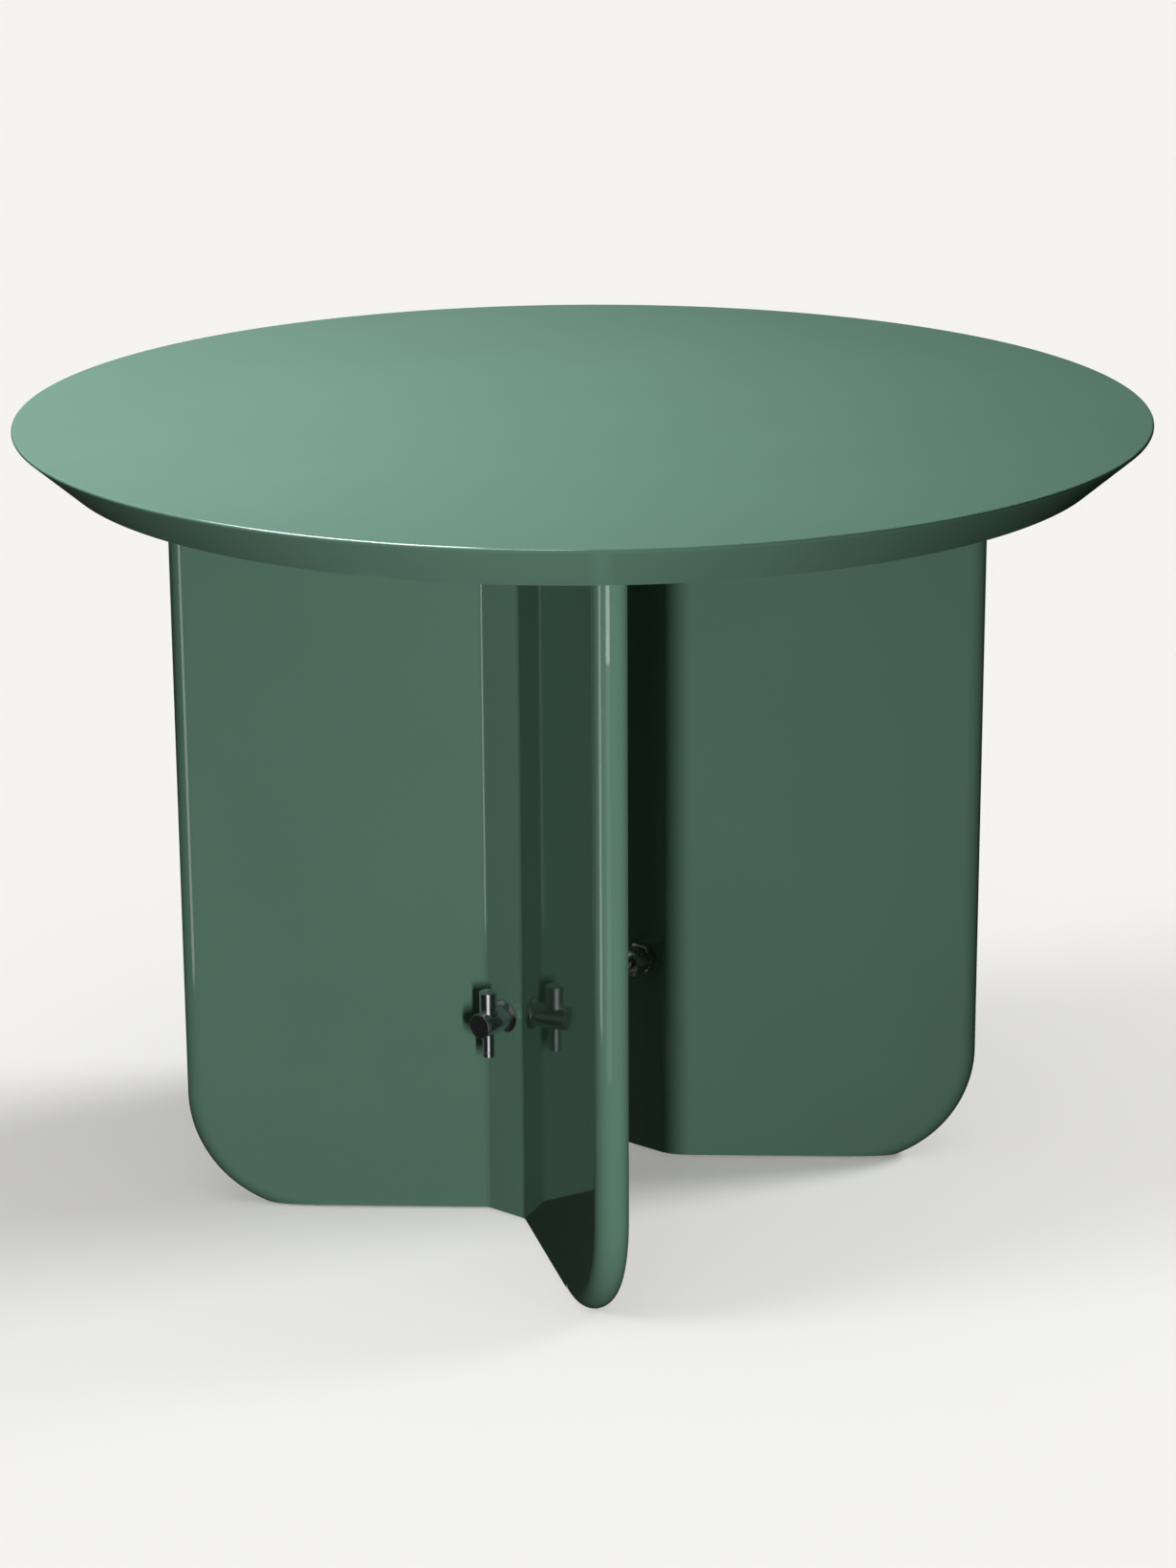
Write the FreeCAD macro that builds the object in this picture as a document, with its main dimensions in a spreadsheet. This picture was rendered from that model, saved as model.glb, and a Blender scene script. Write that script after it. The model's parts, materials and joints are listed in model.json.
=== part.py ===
"""Round-topped drinking fountain on two V-shaped legs, with a push tap in the crook of each leg.

Millimetres. The origin is on the floor under the middle of the top, +Z is up, and the front
tap faces -Y. The rear leg and the rear tap are the front ones turned half a turn about Z.
"""
import FreeCAD, Part
import math
import os

import Sketcher
from FreeCAD import Placement, Rotation, Vector

DIMENSIONS = {
    # round top: a sheet-metal pan with a bevelled rim over a board core
    "top_radius": 500.0,
    "top_height": 728.0,
    "top_thickness": 40.0,
    "rim_round": 2.0,
    "bevel_angle": 40.9,
    "skin": 2.0,
    "core_gap": 0.2,
    "plate_gap": 0.1,
    # hub plate that ties the legs to the top, and its bolts
    "hub_thickness": 5.0,
    "hub_half_width": 70.0,
    "hub_bolt_x": 52.0,
    "hub_bolt_y": 58.0,
    "bolt_radius": 4.0,
    "bolt_head": 7.5,
    "bolt_head_height": 5.3,
    "bolt_length": 22.0,
    "bolt_clearance": 0.3,
    "key_radius": 2.9,
    "key_floor": 2.0,
    "insert_radius": 6.5,
    "insert_length": 18.0,
    # bent legs
    "leg_thickness": 30.0,
    "leg_skin": 2.5,
    "strip_face": 116.0,
    "strip_width": 43.0,
    "wing_angle": 53.2,
    "wing_length": 260.0,
    "bend_radius": 10.0,
    "corner_radius": 100.0,
    "corner_height": 107.0,
    "pad_height": 2.0,
    "pad_width": 18.0,
    "pad_length": 146.0,
    "head_bar_height": 6.0,
    "base_bar_height": 10.0,
    "bar_gap": 0.1,
    "tongue_width": 19.0,
    "tongue_reach": 185.0,
    "rib_thickness": 3.0,
    "rib_inner": 70.0,
    "rib_outer": 190.0,
    "rib_foot": 40.0,
    # threaded holes for floor anchors, one in the foot of each wing
    "anchor_along": 80.0,
    "anchor_radius": 5.0,
    "anchor_clearance": 7.0,
    # taps
    "tap_height": 193.5,
    "tap_reach": 22.0,
    "tap_end": 35.0,
    "barrel_radius": 11.25,
    "shank_radius": 10.4,
    "shank_length": 47.0,
    "shank_bore": 5.0,
    "feed_bore": 2.8,
    "feed_drop": 3.2,
    "shank_hole": 10.8,
    "boss_radius": 15.0,
    "gasket_radius": 14.0,
    "gasket_thickness": 0.8,
    "rosette_radius": 15.0,
    "rosette_thickness": 3.0,
    "rosette_lip": 1.0,
    "plug_thickness": 3.0,
    "plug_spigot": 2.6,
    "plug_spigot_length": 2.2,
    "plug_chamfer": 0.8,
    "knob_radius": 8.0,
    "knob_top": 30.0,
    "knob_skirt": 8.0,
    "knob_roof": 3.0,
    "knob_wall": 1.7,
    "knob_crown": 1.0,
    "knob_play": 0.4,
    "counterbore_floor": 3.0,
    "gland_top": 14.0,
    "gland_thread": 4.6,
    "gland_foot": 0.2,
    "stem_radius": 1.5,
    "stem_play": 0.06,
    "chamber_radius": 4.0,
    "seat_top": 7.0,
    "seat_bottom": 9.0,
    "seat_hole": 2.5,
    "seat_overrun": 1.0,
    "disc_radius": 3.5,
    "disc_thickness": 2.0,
    "disc_gap": 0.3,
    "nozzle_radius": 5.5,
    "nozzle_end": 32.0,
    "nozzle_bore": 4.2,
    "nozzle_lip": 0.6,
    "straightener_length": 4.0,
    "vane_thickness": 0.8,
    "spring_radius": 4.5,
    "spring_wire": 0.5,
    "spring_coils": 5.0,
    "backnut_radius": 15.5,
    "backnut_thickness": 8.0,
    # supply line on the middle axis
    "pipe_radius": 7.5,
    "pipe_wall": 1.0,
    "inlet_foot": 8.0,
    "inlet_free": 25.0,
    "collar_radius": 9.5,
    "collar_height": 3.0,
    "valve_height": 76.0,
    "valve_half_length": 30.0,
    "valve_radius": 15.0,
    "valve_end_radius": 10.0,
    "valve_waist": 18.0,
    "socket_depth": 14.0,
    "ball_radius": 11.0,
    "ball_bore": 5.0,
    "ball_flat": 10.0,
    "ball_room": 0.6,
    "spindle_radius": 3.0,
    "spindle_play": 0.06,
    "neck_radius": 7.0,
    "neck_reach": 21.0,
    "lever_near": 21.6,
    "lever_thickness": 3.0,
    "lever_width": 11.0,
    "lever_length": 50.0,
    "lever_nut_radius": 5.5,
    "lever_nut_thickness": 4.0,
    "nut_radius": 13.5,
    "nut_length": 11.0,
    "nut_inset": 6.0,
    "tee_radius": 10.0,
    "tee_arm": 24.0,
    "connector_radius": 14.5,
    "connector_length": 15.0,
    "thread_overlap": 7.0,
}
HALF_TURN = 180.0
SIDES = {"front": 0.0, "rear": HALF_TURN}

document = FreeCAD.newDocument("DrinkingFountain")
nodes = {}


class Size:
    """A length with the sheet expression that it comes from."""

    def __init__(self, value, text):
        self.value = value
        self.text = text

    def __add__(self, other):
        other = as_size(other)
        return Size(self.value + other.value, f"({self.text} + {other.text})")

    def __sub__(self, other):
        other = as_size(other)
        return Size(self.value - other.value, f"({self.text} - {other.text})")

    def __mul__(self, other):
        other = as_size(other)
        return Size(self.value * other.value, f"({self.text} * {other.text})")

    def __truediv__(self, other):
        other = as_size(other)
        return Size(self.value / other.value, f"({self.text} / {other.text})")

    def __neg__(self):
        return Size(-self.value, f"(0 - {self.text})")


def as_size(item):
    return item if isinstance(item, Size) else Size(float(item), f"{float(item):.4f}")


def sine(angle):
    return Size(math.sin(math.radians(angle.value)), f"sin({angle.text})")


def cosine(angle):
    return Size(math.cos(math.radians(angle.value)), f"cos({angle.text})")


def tangent(angle):
    return Size(math.tan(math.radians(angle.value)), f"tan({angle.text})")


class Cells:
    """The sheet's cells by alias, each read as a Size."""

    def __init__(self, dimensions):
        sheet = document.addObject("Spreadsheet::Sheet", "Sheet")
        for row, (alias, value) in enumerate(dimensions.items(), start=1):
            sheet.set(f"A{row}", alias.replace("_", " "))
            sheet.set(f"B{row}", f"{value:g}")
            sheet.setAlias(f"B{row}", alias)
            setattr(self, alias, Size(value, f"Sheet.{alias}"))
        document.recompute()


cells = Cells(DIMENSIONS)
ZERO = as_size(0)


# ---------------------------------------------------------------- building helpers
def bind(item, prop, size):
    item.setExpression(prop, as_size(size).text)


def place(item, x=0, y=0, z=0, turn=0.0, tilt=None):
    """Put an item at a point given in front coordinates, turned about Z with its place."""
    x, y, z = as_size(x), as_size(y), as_size(z)
    if turn == HALF_TURN:
        x, y = -x, -y
    rotation = Rotation(Vector(0, 0, 1), turn)
    if tilt is not None:
        rotation = rotation.multiply(tilt)
    item.Placement = Placement(Vector(x.value, y.value, z.value), rotation)
    bind(item, "Placement.Base.x", x)
    bind(item, "Placement.Base.y", y)
    bind(item, "Placement.Base.z", z)
    return item


def node(label, item):
    """Name an item as a sub-part of its own."""
    item.Label = label
    nodes[label] = item
    return item


def new_body(label):
    body = document.addObject("PartDesign::Body", label)
    return node(label, body)


def origin_plane(body, role):
    return next(item for item in body.Origin.OriginFeatures if item.Role == role)


def new_sketch(body, name, role, offset=ZERO):
    sketch = body.newObject("Sketcher::SketchObject", f"{body.Name}_{name}")
    sketch.AttachmentSupport = (origin_plane(body, role), [""])
    sketch.MapMode = "FlatFace"
    sketch.AttachmentOffset = Placement(Vector(0, 0, offset.value), Rotation())
    bind(sketch, "AttachmentOffset.Base.z", offset)
    return sketch


def pin_point(sketch, geometry, end, x, y):
    """Fix one end of a sketch edge by its two coordinates."""
    for kind, size in (("DistanceX", x), ("DistanceY", y)):
        index = sketch.addConstraint(Sketcher.Constraint(kind, -1, 1, geometry, end, size.value))
        sketch.setExpression(f"Constraints[{index}]", size.text)


def add_arc(sketch, start, finish, centre, radius):
    """Add the shorter arc from start to finish; returns its index and its two end numbers."""
    first = math.atan2(start[1].value - centre[1].value, start[0].value - centre[0].value)
    last = math.atan2(finish[1].value - centre[1].value, finish[0].value - centre[0].value)
    sweep = (last - first) % (2 * math.pi)
    forward = sweep < math.pi
    low, high = (first, first + sweep) if forward else (last, last + 2 * math.pi - sweep)
    circle = Part.Circle(Vector(centre[0].value, centre[1].value, 0), Vector(0, 0, 1), radius.value)
    index = sketch.addGeometry(Part.ArcOfCircle(circle, low, high), False)
    return index, (1, 2) if forward else (2, 1)


def draw_outline(sketch, outline):
    """Draw a closed outline. An entry is (x, y), or (x, y, centre, radius) before an arc."""
    outline = [tuple(as_size(v) if not isinstance(v, tuple) else v for v in e) for e in outline]
    edges = []
    for place_number, entry in enumerate(outline):
        follower = outline[(place_number + 1) % len(outline)]
        if len(entry) == 4:
            edges.append(add_arc(sketch, entry, follower, entry[2], entry[3]))
        else:
            line = Part.LineSegment(
                Vector(entry[0].value, entry[1].value, 0),
                Vector(follower[0].value, follower[1].value, 0),
            )
            edges.append((sketch.addGeometry(line, False), (1, 2)))
    for place_number, entry in enumerate(outline):
        index, (start, _) = edges[place_number]
        before, (_, finish) = edges[place_number - 1]
        sketch.addConstraint(Sketcher.Constraint("Coincident", before, finish, index, start))
        pin_point(sketch, index, start, entry[0], entry[1])
        if len(entry) == 4:
            mark = sketch.addConstraint(Sketcher.Constraint("Radius", index, entry[3].value))
            sketch.setExpression(f"Constraints[{mark}]", entry[3].text)
    return sketch


def draw_circle(sketch, x, y, radius):
    x, y, radius = as_size(x), as_size(y), as_size(radius)
    circle = Part.Circle(Vector(x.value, y.value, 0), Vector(0, 0, 1), radius.value)
    index = sketch.addGeometry(circle, False)
    pin_point(sketch, index, 3, x, y)
    mark = sketch.addConstraint(Sketcher.Constraint("Radius", index, radius.value))
    sketch.setExpression(f"Constraints[{mark}]", radius.text)
    return sketch


def rectangle(x0, y0, x1, y1):
    return [(x0, y0), (x1, y0), (x1, y1), (x0, y1)]


def pad(body, sketch, length, downward=False):
    feature = body.newObject("PartDesign::Pad", f"{sketch.Name}_pad")
    feature.Profile = sketch
    feature.Reversed = downward
    bind(feature, "Length", length)
    return feature


def pocket_through(body, sketch, both_ways=False):
    """Cut everything behind the sketch away, or everything on both sides of it."""
    feature = body.newObject("PartDesign::Pocket", f"{sketch.Name}_cut")
    feature.Profile = sketch
    feature.Type = "ThroughAll"
    feature.Midplane = both_ways
    return feature


def revolve(body, sketch, axis="V_Axis", angle=360.0, reversed_way=False):
    feature = body.newObject("PartDesign::Revolution", f"{sketch.Name}_turn")
    feature.Profile = sketch
    feature.ReferenceAxis = (sketch, [axis])
    feature.Angle = angle
    feature.Reversed = reversed_way
    return feature


def turned(label, outline, role="XZ_Plane"):
    """A body turned about its upright axis, or about Y when role is XY_Plane."""
    body = new_body(label)
    sketch = new_sketch(body, "profile", role)
    draw_outline(sketch, outline)
    revolve(body, sketch)
    return body


def tube_outline(inner, outer, low, high):
    return rectangle(inner, low, outer, high)


ALONG = {
    "Z": Rotation(),
    "Y": Rotation(Vector(1, 0, 0), -90),
    "X": Rotation(Vector(0, 1, 0), 90),
}


def cylinder(name, radius, start, end, axis="Z", at=(0, 0, 0)):
    """A cylinder from start to end along an axis through the point at."""
    item = document.addObject("Part::Cylinder", name)
    start, end = as_size(start), as_size(end)
    bind(item, "Radius", radius)
    bind(item, "Height", end - start)
    x, y, z = (as_size(value) for value in at)
    if axis == "Z":
        z = z + start
    elif axis == "Y":
        y = y + start
    else:
        x = x + start
    return place(item, x, y, z, tilt=ALONG[axis])


def hexagon(name, radius, start, end, axis="Z", at=(0, 0, 0)):
    """A hexagonal bar from start to end along an axis through the point at."""
    item = document.addObject("Part::Prism", name)
    item.Polygon = 6
    start, end = as_size(start), as_size(end)
    bind(item, "Circumradius", radius)
    bind(item, "Height", end - start)
    x, y, z = (as_size(value) for value in at)
    if axis == "Z":
        z = z + start
    elif axis == "Y":
        y = y + start
    else:
        x = x + start
    return place(item, x, y, z, tilt=ALONG[axis])


def box(name, corner, lengths):
    item = document.addObject("Part::Box", name)
    for prop, length in zip(("Length", "Width", "Height"), lengths):
        bind(item, prop, length)
    return place(item, *corner)


def fused(name, items):
    item = document.addObject("Part::MultiFuse", name)
    item.Shapes = items
    item.Refine = True
    return item


def cut(name, base, tool):
    item = document.addObject("Part::Cut", name)
    item.Base = base
    item.Tool = tool
    item.Refine = True
    return item


def group(name, items):
    item = document.addObject("Part::Compound", name)
    item.Links = items
    return item


# ---------------------------------------------------------------- round top
underside = cells.top_height - cells.top_thickness


def bevel_run(rise):
    """How far the bevel moves inwards over a fall of rise."""
    return rise / tangent(cells.bevel_angle)


def make_top_skin():
    """Sheet pan: flat top, small rounded edge, conical bevel that ends in an open lip."""
    c = cells
    centre = (c.top_radius - c.rim_round, c.top_height - c.rim_round)
    foot = (
        centre[0] + c.rim_round * sine(c.bevel_angle),
        centre[1] - c.rim_round * cosine(c.bevel_angle),
    )
    outline = [
        (0, c.top_height),
        (0, c.top_height - c.skin),
        centre,
        (centre[0] - bevel_run(centre[1] - underside), underside),
        (foot[0] - bevel_run(foot[1] - underside), underside),
        (foot[0], foot[1], centre, c.rim_round),
        (centre[0], c.top_height),
    ]
    turned("top_skin", outline)


def lip_radius(height):
    """Inside radius of the skin's bevel at a height."""
    c = cells
    return c.top_radius - c.rim_round - bevel_run(c.top_height - c.rim_round - height)


def make_top_core():
    """Board core that fills the pan above the underside plate, bored for the inserts."""
    c = cells
    low = underside + c.skin
    high = c.top_height - c.skin - c.core_gap
    outline = [
        (0, low),
        (lip_radius(low) - c.core_gap * 2, low),
        (lip_radius(high) - c.core_gap * 2, high),
        (0, high),
    ]
    core = turned("top_core", outline)
    sketch = new_sketch(core, "holes", "XY_Plane", low + c.insert_length)
    for x, y in hub_bolt_places():
        draw_circle(sketch, x, y, c.insert_radius)
    pocket_through(core, sketch)


def make_underside_plate():
    c = cells
    edge = lip_radius(underside) - c.plate_gap
    plate = turned("underside_plate", tube_outline(0, edge, underside, underside + c.skin))
    sketch = new_sketch(plate, "holes", "XY_Plane", underside + c.skin)
    for x, y in hub_bolt_places():
        draw_circle(sketch, x, y, c.bolt_radius + c.bolt_clearance)
    pocket_through(plate, sketch)


def hub_bolt_places():
    c = cells
    return [(x, y) for x in (-c.hub_bolt_x, c.hub_bolt_x) for y in (-c.hub_bolt_y, c.hub_bolt_y)]


def make_hub_plate():
    """Plate welded between the legs' backs, bolted up into the top."""
    c = cells
    back = c.strip_face - c.leg_thickness
    low = underside - c.hub_thickness
    plate = new_body("hub_plate")
    sketch = new_sketch(plate, "outline", "XY_Plane", low)
    draw_outline(sketch, rectangle(-c.hub_half_width, -back, c.hub_half_width, back))
    pad(plate, sketch, c.hub_thickness)
    document.recompute()
    holes = new_sketch(plate, "holes", "XY_Plane", underside)
    for x, y in hub_bolt_places():
        draw_circle(holes, x, y, c.bolt_radius + c.bolt_clearance)
    pocket_through(plate, holes)


def make_hub_bolts_and_inserts():
    c = cells
    low = underside - c.hub_thickness
    bolts, inserts = [], []
    for number, (x, y) in enumerate(hub_bolt_places()):
        at = (x, y, low)
        head = cylinder(f"bolt_head_{number}", c.bolt_head, -c.bolt_head_height, 0, at=at)
        key = hexagon(f"bolt_key_{number}", c.key_radius, -c.bolt_head_height, -c.key_floor, at=at)
        drilled = cut(f"bolt_socket_{number}", head, key)
        shank = cylinder(f"bolt_shank_{number}", c.bolt_radius, 0, c.bolt_length, at=at)
        bolts.append(fused(f"bolt_{number}", [drilled, shank]))
        at = (x, y, underside + c.skin)
        sleeve = cylinder(f"insert_sleeve_{number}", c.insert_radius, 0, c.insert_length, at=at)
        thread = cylinder(f"insert_bore_{number}", c.bolt_radius, 0, c.insert_length, at=at)
        inserts.append(cut(f"insert_{number}", sleeve, thread))
    node("hub_bolts", group("hub_bolts", bolts))
    node("top_inserts", group("top_inserts", inserts))


# ---------------------------------------------------------------- bent legs
half_strip = cells.strip_width / 2
half_thickness = cells.leg_thickness / 2
bend_run = cells.bend_radius * tangent((as_size(90) - cells.wing_angle) / 2)
corner_start = cells.wing_length - cells.corner_radius


def on_wing(along, depth, hand=1):
    """Plan point of a wing: along it from the crook's corner, depth in from its hollow face."""
    c = cells
    x = half_strip + along * sine(c.wing_angle) + depth * cosine(c.wing_angle)
    y = depth * sine(c.wing_angle) - along * cosine(c.wing_angle) - c.strip_face
    return (x if hand > 0 else -x), y


def on_strip(depth, hand=1):
    x = half_strip - bend_run
    return (x if hand > 0 else -x), depth - cells.strip_face


def bend_centre(hand=1):
    x = half_strip - bend_run
    return (x if hand > 0 else -x), -(cells.strip_face + cells.bend_radius)


def bent_path(depth, reach, hand):
    """Plan points at one depth, from the wing on side hand to the wing on the other side."""
    radius = cells.bend_radius + depth
    return [
        on_wing(reach, depth, hand),
        on_wing(bend_run, depth, hand) + (bend_centre(hand), radius),
        on_strip(depth, hand),
        on_strip(depth, -hand) + (bend_centre(-hand), radius),
        on_wing(bend_run, depth, -hand),
        on_wing(reach, depth, -hand),
    ]


def nose_centre(hand):
    return on_wing(cells.wing_length, half_thickness, hand)


def panel_outline(outer, inner):
    """Plan of one sheet of a leg, from bullnose to bullnose."""
    c = cells
    inner_nose = half_thickness - c.leg_skin
    outside = bent_path(outer, c.wing_length, 1)
    inside = bent_path(inner, c.wing_length, -1)
    outside[-1] = outside[-1] + (nose_centre(-1), half_thickness)
    inside[-1] = inside[-1] + (nose_centre(1), inner_nose)
    tip = c.wing_length + half_thickness
    inner_tip = c.wing_length + inner_nose
    return (
        [on_wing(tip, half_thickness, 1) + (nose_centre(1), half_thickness)]
        + outside
        + [on_wing(tip, half_thickness, -1)]
        + [on_wing(inner_tip, half_thickness, -1) + (nose_centre(-1), inner_nose)]
        + inside
        + [on_wing(inner_tip, half_thickness, 1)]
    )


def nose_outline(outer, inner, hand):
    """Plan of one wing of a sheet outside the corner's centre line."""
    c = cells
    inner_nose = half_thickness - c.leg_skin
    return [
        on_wing(corner_start, outer, hand),
        on_wing(c.wing_length, outer, hand) + (nose_centre(hand), half_thickness),
        on_wing(c.wing_length + half_thickness, half_thickness, hand),
        on_wing(c.wing_length + inner_nose, half_thickness, hand) + (nose_centre(hand), inner_nose),
        on_wing(c.wing_length, inner, hand),
        on_wing(corner_start, inner, hand),
    ]


def add_axis_line(sketch, start, finish):
    """Construction line that a corner is turned about."""
    line = Part.LineSegment(
        Vector(start[0].value, start[1].value, 0), Vector(finish[0].value, finish[1].value, 0)
    )
    index = sketch.addGeometry(line, True)
    pin_point(sketch, index, 1, *start)
    pin_point(sketch, index, 2, *finish)


def make_leg_panel(label, outer, inner, turn):
    """One bent sheet of a leg: full height, with its lower outer corners rounded."""
    c = cells
    body = new_body(label)
    upper = new_sketch(body, "upper", "XY_Plane", c.corner_height)
    draw_outline(upper, panel_outline(outer, inner))
    pad(body, upper, underside - c.corner_height)
    lower = new_sketch(body, "lower", "XY_Plane", c.corner_height)
    draw_outline(lower, bent_path(outer, corner_start, 1) + bent_path(inner, corner_start, -1))
    pad(body, lower, c.corner_height - c.pad_height, downward=True)
    for hand, name in ((1, "right"), (-1, "left")):
        corner = new_sketch(body, name, "XY_Plane", c.corner_height)
        draw_outline(corner, nose_outline(outer, inner, hand))
        add_axis_line(
            corner,
            on_wing(corner_start, ZERO, hand),
            on_wing(corner_start, c.leg_thickness, hand),
        )
        revolve(body, corner, axis="Axis0", angle=90.0, reversed_way=hand < 0)
    floor_cut = new_sketch(body, "floor", "XY_Plane", c.pad_height)
    reach = c.wing_length + c.strip_face
    draw_outline(floor_cut, rectangle(-reach, -(reach + reach), reach, 0))
    pocket_through(body, floor_cut)
    hole = new_sketch(body, "tap_hole", "XZ_Plane")
    draw_circle(hole, 0, c.tap_height, c.shank_hole)
    pocket_through(body, hole, both_ways=True)
    place(body, turn=turn)


def tongue(hand, depth_order):
    """Plan of the narrow round-ended stretch of a base bar that runs into a rounded corner."""
    c = cells
    half = c.tongue_width / 2
    first, last = (half_thickness + half * step for step in depth_order)
    middle = on_wing(c.tongue_reach, half_thickness, hand)
    tip = on_wing(c.tongue_reach + half, half_thickness, hand)
    return [
        on_wing(corner_start, first, hand),
        on_wing(c.tongue_reach, first, hand) + (middle, half),
        tip + (middle, half),
        on_wing(c.tongue_reach, last, hand),
        on_wing(corner_start, last, hand),
    ]


def make_head_bar(label, turn):
    """Bent flat bar that closes a leg's upper end between its two sheets."""
    c = cells
    near = c.leg_skin + c.bar_gap
    far = c.leg_thickness - near
    reach = c.wing_length
    body = new_body(label)
    sketch = new_sketch(body, "plan", "XY_Plane", underside - c.head_bar_height)
    draw_outline(sketch, bent_path(near, reach, 1) + bent_path(far, reach, -1))
    pad(body, sketch, c.head_bar_height)
    place(body, turn=turn)


def make_base_bar(label, turn):
    """Thick bent bar in a leg's foot, with a threaded anchor hole in each wing."""
    c = cells
    near = c.leg_skin + c.bar_gap
    far = c.leg_thickness - near
    body = new_body(label)
    sketch = new_sketch(body, "plan", "XY_Plane", c.pad_height)
    front_half = bent_path(near, corner_start, 1) + tongue(-1, (-1, 1))
    back_half = bent_path(far, corner_start, -1) + tongue(1, (1, -1))
    draw_outline(sketch, front_half + back_half)
    pad(body, sketch, c.base_bar_height)
    holes = new_sketch(body, "anchor_holes", "XY_Plane", c.pad_height + c.base_bar_height)
    for hand in (1, -1):
        draw_circle(holes, *on_wing(c.anchor_along, half_thickness, hand), c.anchor_radius)
    pocket_through(body, holes)
    place(body, turn=turn)


def wing_block(name, along, length, low, high, depth, width, hand):
    """Upright block in a wing, from along to along + length."""
    c = cells
    item = document.addObject("Part::Box", name)
    bind(item, "Length", length)
    bind(item, "Width", width)
    bind(item, "Height", high - low)
    if hand > 0:
        x, y = on_wing(along, depth, 1)
        angle = as_size(-90) + c.wing_angle
    else:
        x, y = on_wing(along + length, depth, -1)
        angle = as_size(90) - c.wing_angle
    place(item, x, y, low)
    bind(item, "Placement.Rotation.Angle", angle)
    return item


def make_leg_ribs(label, turn):
    """Four upright flat bars that hold a leg's two sheets apart."""
    c = cells
    near = c.leg_skin + c.bar_gap
    width = c.leg_thickness - near - near
    ribs = []
    for hand in (1, -1):
        for number, along in enumerate((c.rib_inner, c.rib_outer)):
            name = f"{label}_{number}_{'right' if hand > 0 else 'left'}"
            high = underside - c.head_bar_height
            ribs.append(
                wing_block(name, along, c.rib_thickness, c.rib_foot, high, near, width, hand)
            )
    place(node(label, group(label, ribs)), turn=turn)


def make_foot_pads(label, turn):
    """Three soft strips under a leg: one in the middle, and a pierced one under each wing."""
    c = cells
    inset = (c.leg_thickness - c.pad_width) / 2
    pads = []
    for hand, name in ((1, "right"), (-1, "left")):
        strip = wing_block(
            f"{label}_{name}", c.bend_radius, c.pad_length, ZERO, c.pad_height, inset, c.pad_width, hand
        )
        x, y = on_wing(c.anchor_along, half_thickness, hand)
        hole = cylinder(f"{label}_{name}_hole", c.anchor_clearance, ZERO, c.pad_height, at=(x, y, 0))
        pads.append(cut(f"{label}_{name}_pierced", strip, hole))
    half_middle = on_strip(ZERO)[0]
    middle = box(
        f"{label}_middle",
        (-half_middle, inset - c.strip_face, ZERO),
        (half_middle * 2, c.pad_width, c.pad_height),
    )
    place(node(label, group(label, pads + [middle])), turn=turn)


def make_tap_boss(label, turn):
    """Thick tube welded between the sheets, which the tap's shank goes through."""
    c = cells
    near = c.leg_skin - c.strip_face
    far = c.leg_thickness - c.leg_skin - c.strip_face
    boss = turned(label, tube_outline(c.shank_hole, c.boss_radius, near, far), "XY_Plane")
    place(boss, z=c.tap_height, turn=turn)


def make_leg(side, turn):
    c = cells
    make_leg_panel(f"{side}_leg_face_panel", ZERO, c.leg_skin, turn)
    make_leg_panel(f"{side}_leg_back_panel", c.leg_thickness, c.leg_thickness - c.leg_skin, turn)
    make_base_bar(f"{side}_leg_base_bar", turn)
    make_head_bar(f"{side}_leg_head_bar", turn)
    make_leg_ribs(f"{side}_leg_ribs", turn)
    make_foot_pads(f"{side}_leg_foot_pads", turn)
    make_tap_boss(f"{side}_leg_tap_boss", turn)


# ---------------------------------------------------------------- push taps
# Pieces on the shank's axis are drawn with y measured outwards as -Y; upright pieces are drawn
# about the tap's own upright axis, with z measured from the shank's axis.
def out(distance):
    """Y of a point that stands a distance in front of the leg's hollow face."""
    return -(cells.strip_face + distance)


def make_tap_body(label, turn):
    """Barrel with its threaded shank, bored for the feed, the knob's well and the nozzle."""
    c = cells
    shoulder = c.gasket_thickness + c.rosette_thickness
    end = c.tap_end - c.plug_thickness
    tail = c.shank_length
    barrel = cylinder(f"{label}_barrel", c.barrel_radius, out(end), out(shoulder), "Y")
    shank = cylinder(f"{label}_shank", c.shank_radius, out(shoulder), out(-tail), "Y")
    middle = (0, out(c.tap_reach), 0)
    solid = fused(f"{label}_solid", [barrel, shank])
    feed_start = out(c.tap_reach - c.chamber_radius * 2)
    tools = [
        cylinder(f"{label}_bore", c.shank_bore, feed_start, out(-tail), "Y"),
        cylinder(f"{label}_feed", c.feed_bore, out(c.tap_reach), feed_start, "Y",
                 at=(0, 0, -c.feed_drop)),
        cylinder(f"{label}_well", c.knob_radius + c.knob_play, c.counterbore_floor,
                 c.barrel_radius * 2, at=middle),
        cylinder(f"{label}_chamber", c.gland_thread, -c.seat_top, c.counterbore_floor, at=middle),
        cylinder(f"{label}_seat", c.seat_hole, -(c.seat_bottom + c.seat_overrun), -c.seat_top, at=middle),
        cylinder(f"{label}_socket", c.nozzle_radius, -c.barrel_radius * 2, -c.seat_bottom, at=middle),
        cylinder(f"{label}_end", c.plug_spigot, out(end), out(end - c.plug_spigot_length), "Y"),
    ]
    body = node(label, cut(label, solid, fused(f"{label}_voids", tools)))
    place(body, z=c.tap_height, turn=turn)


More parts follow.
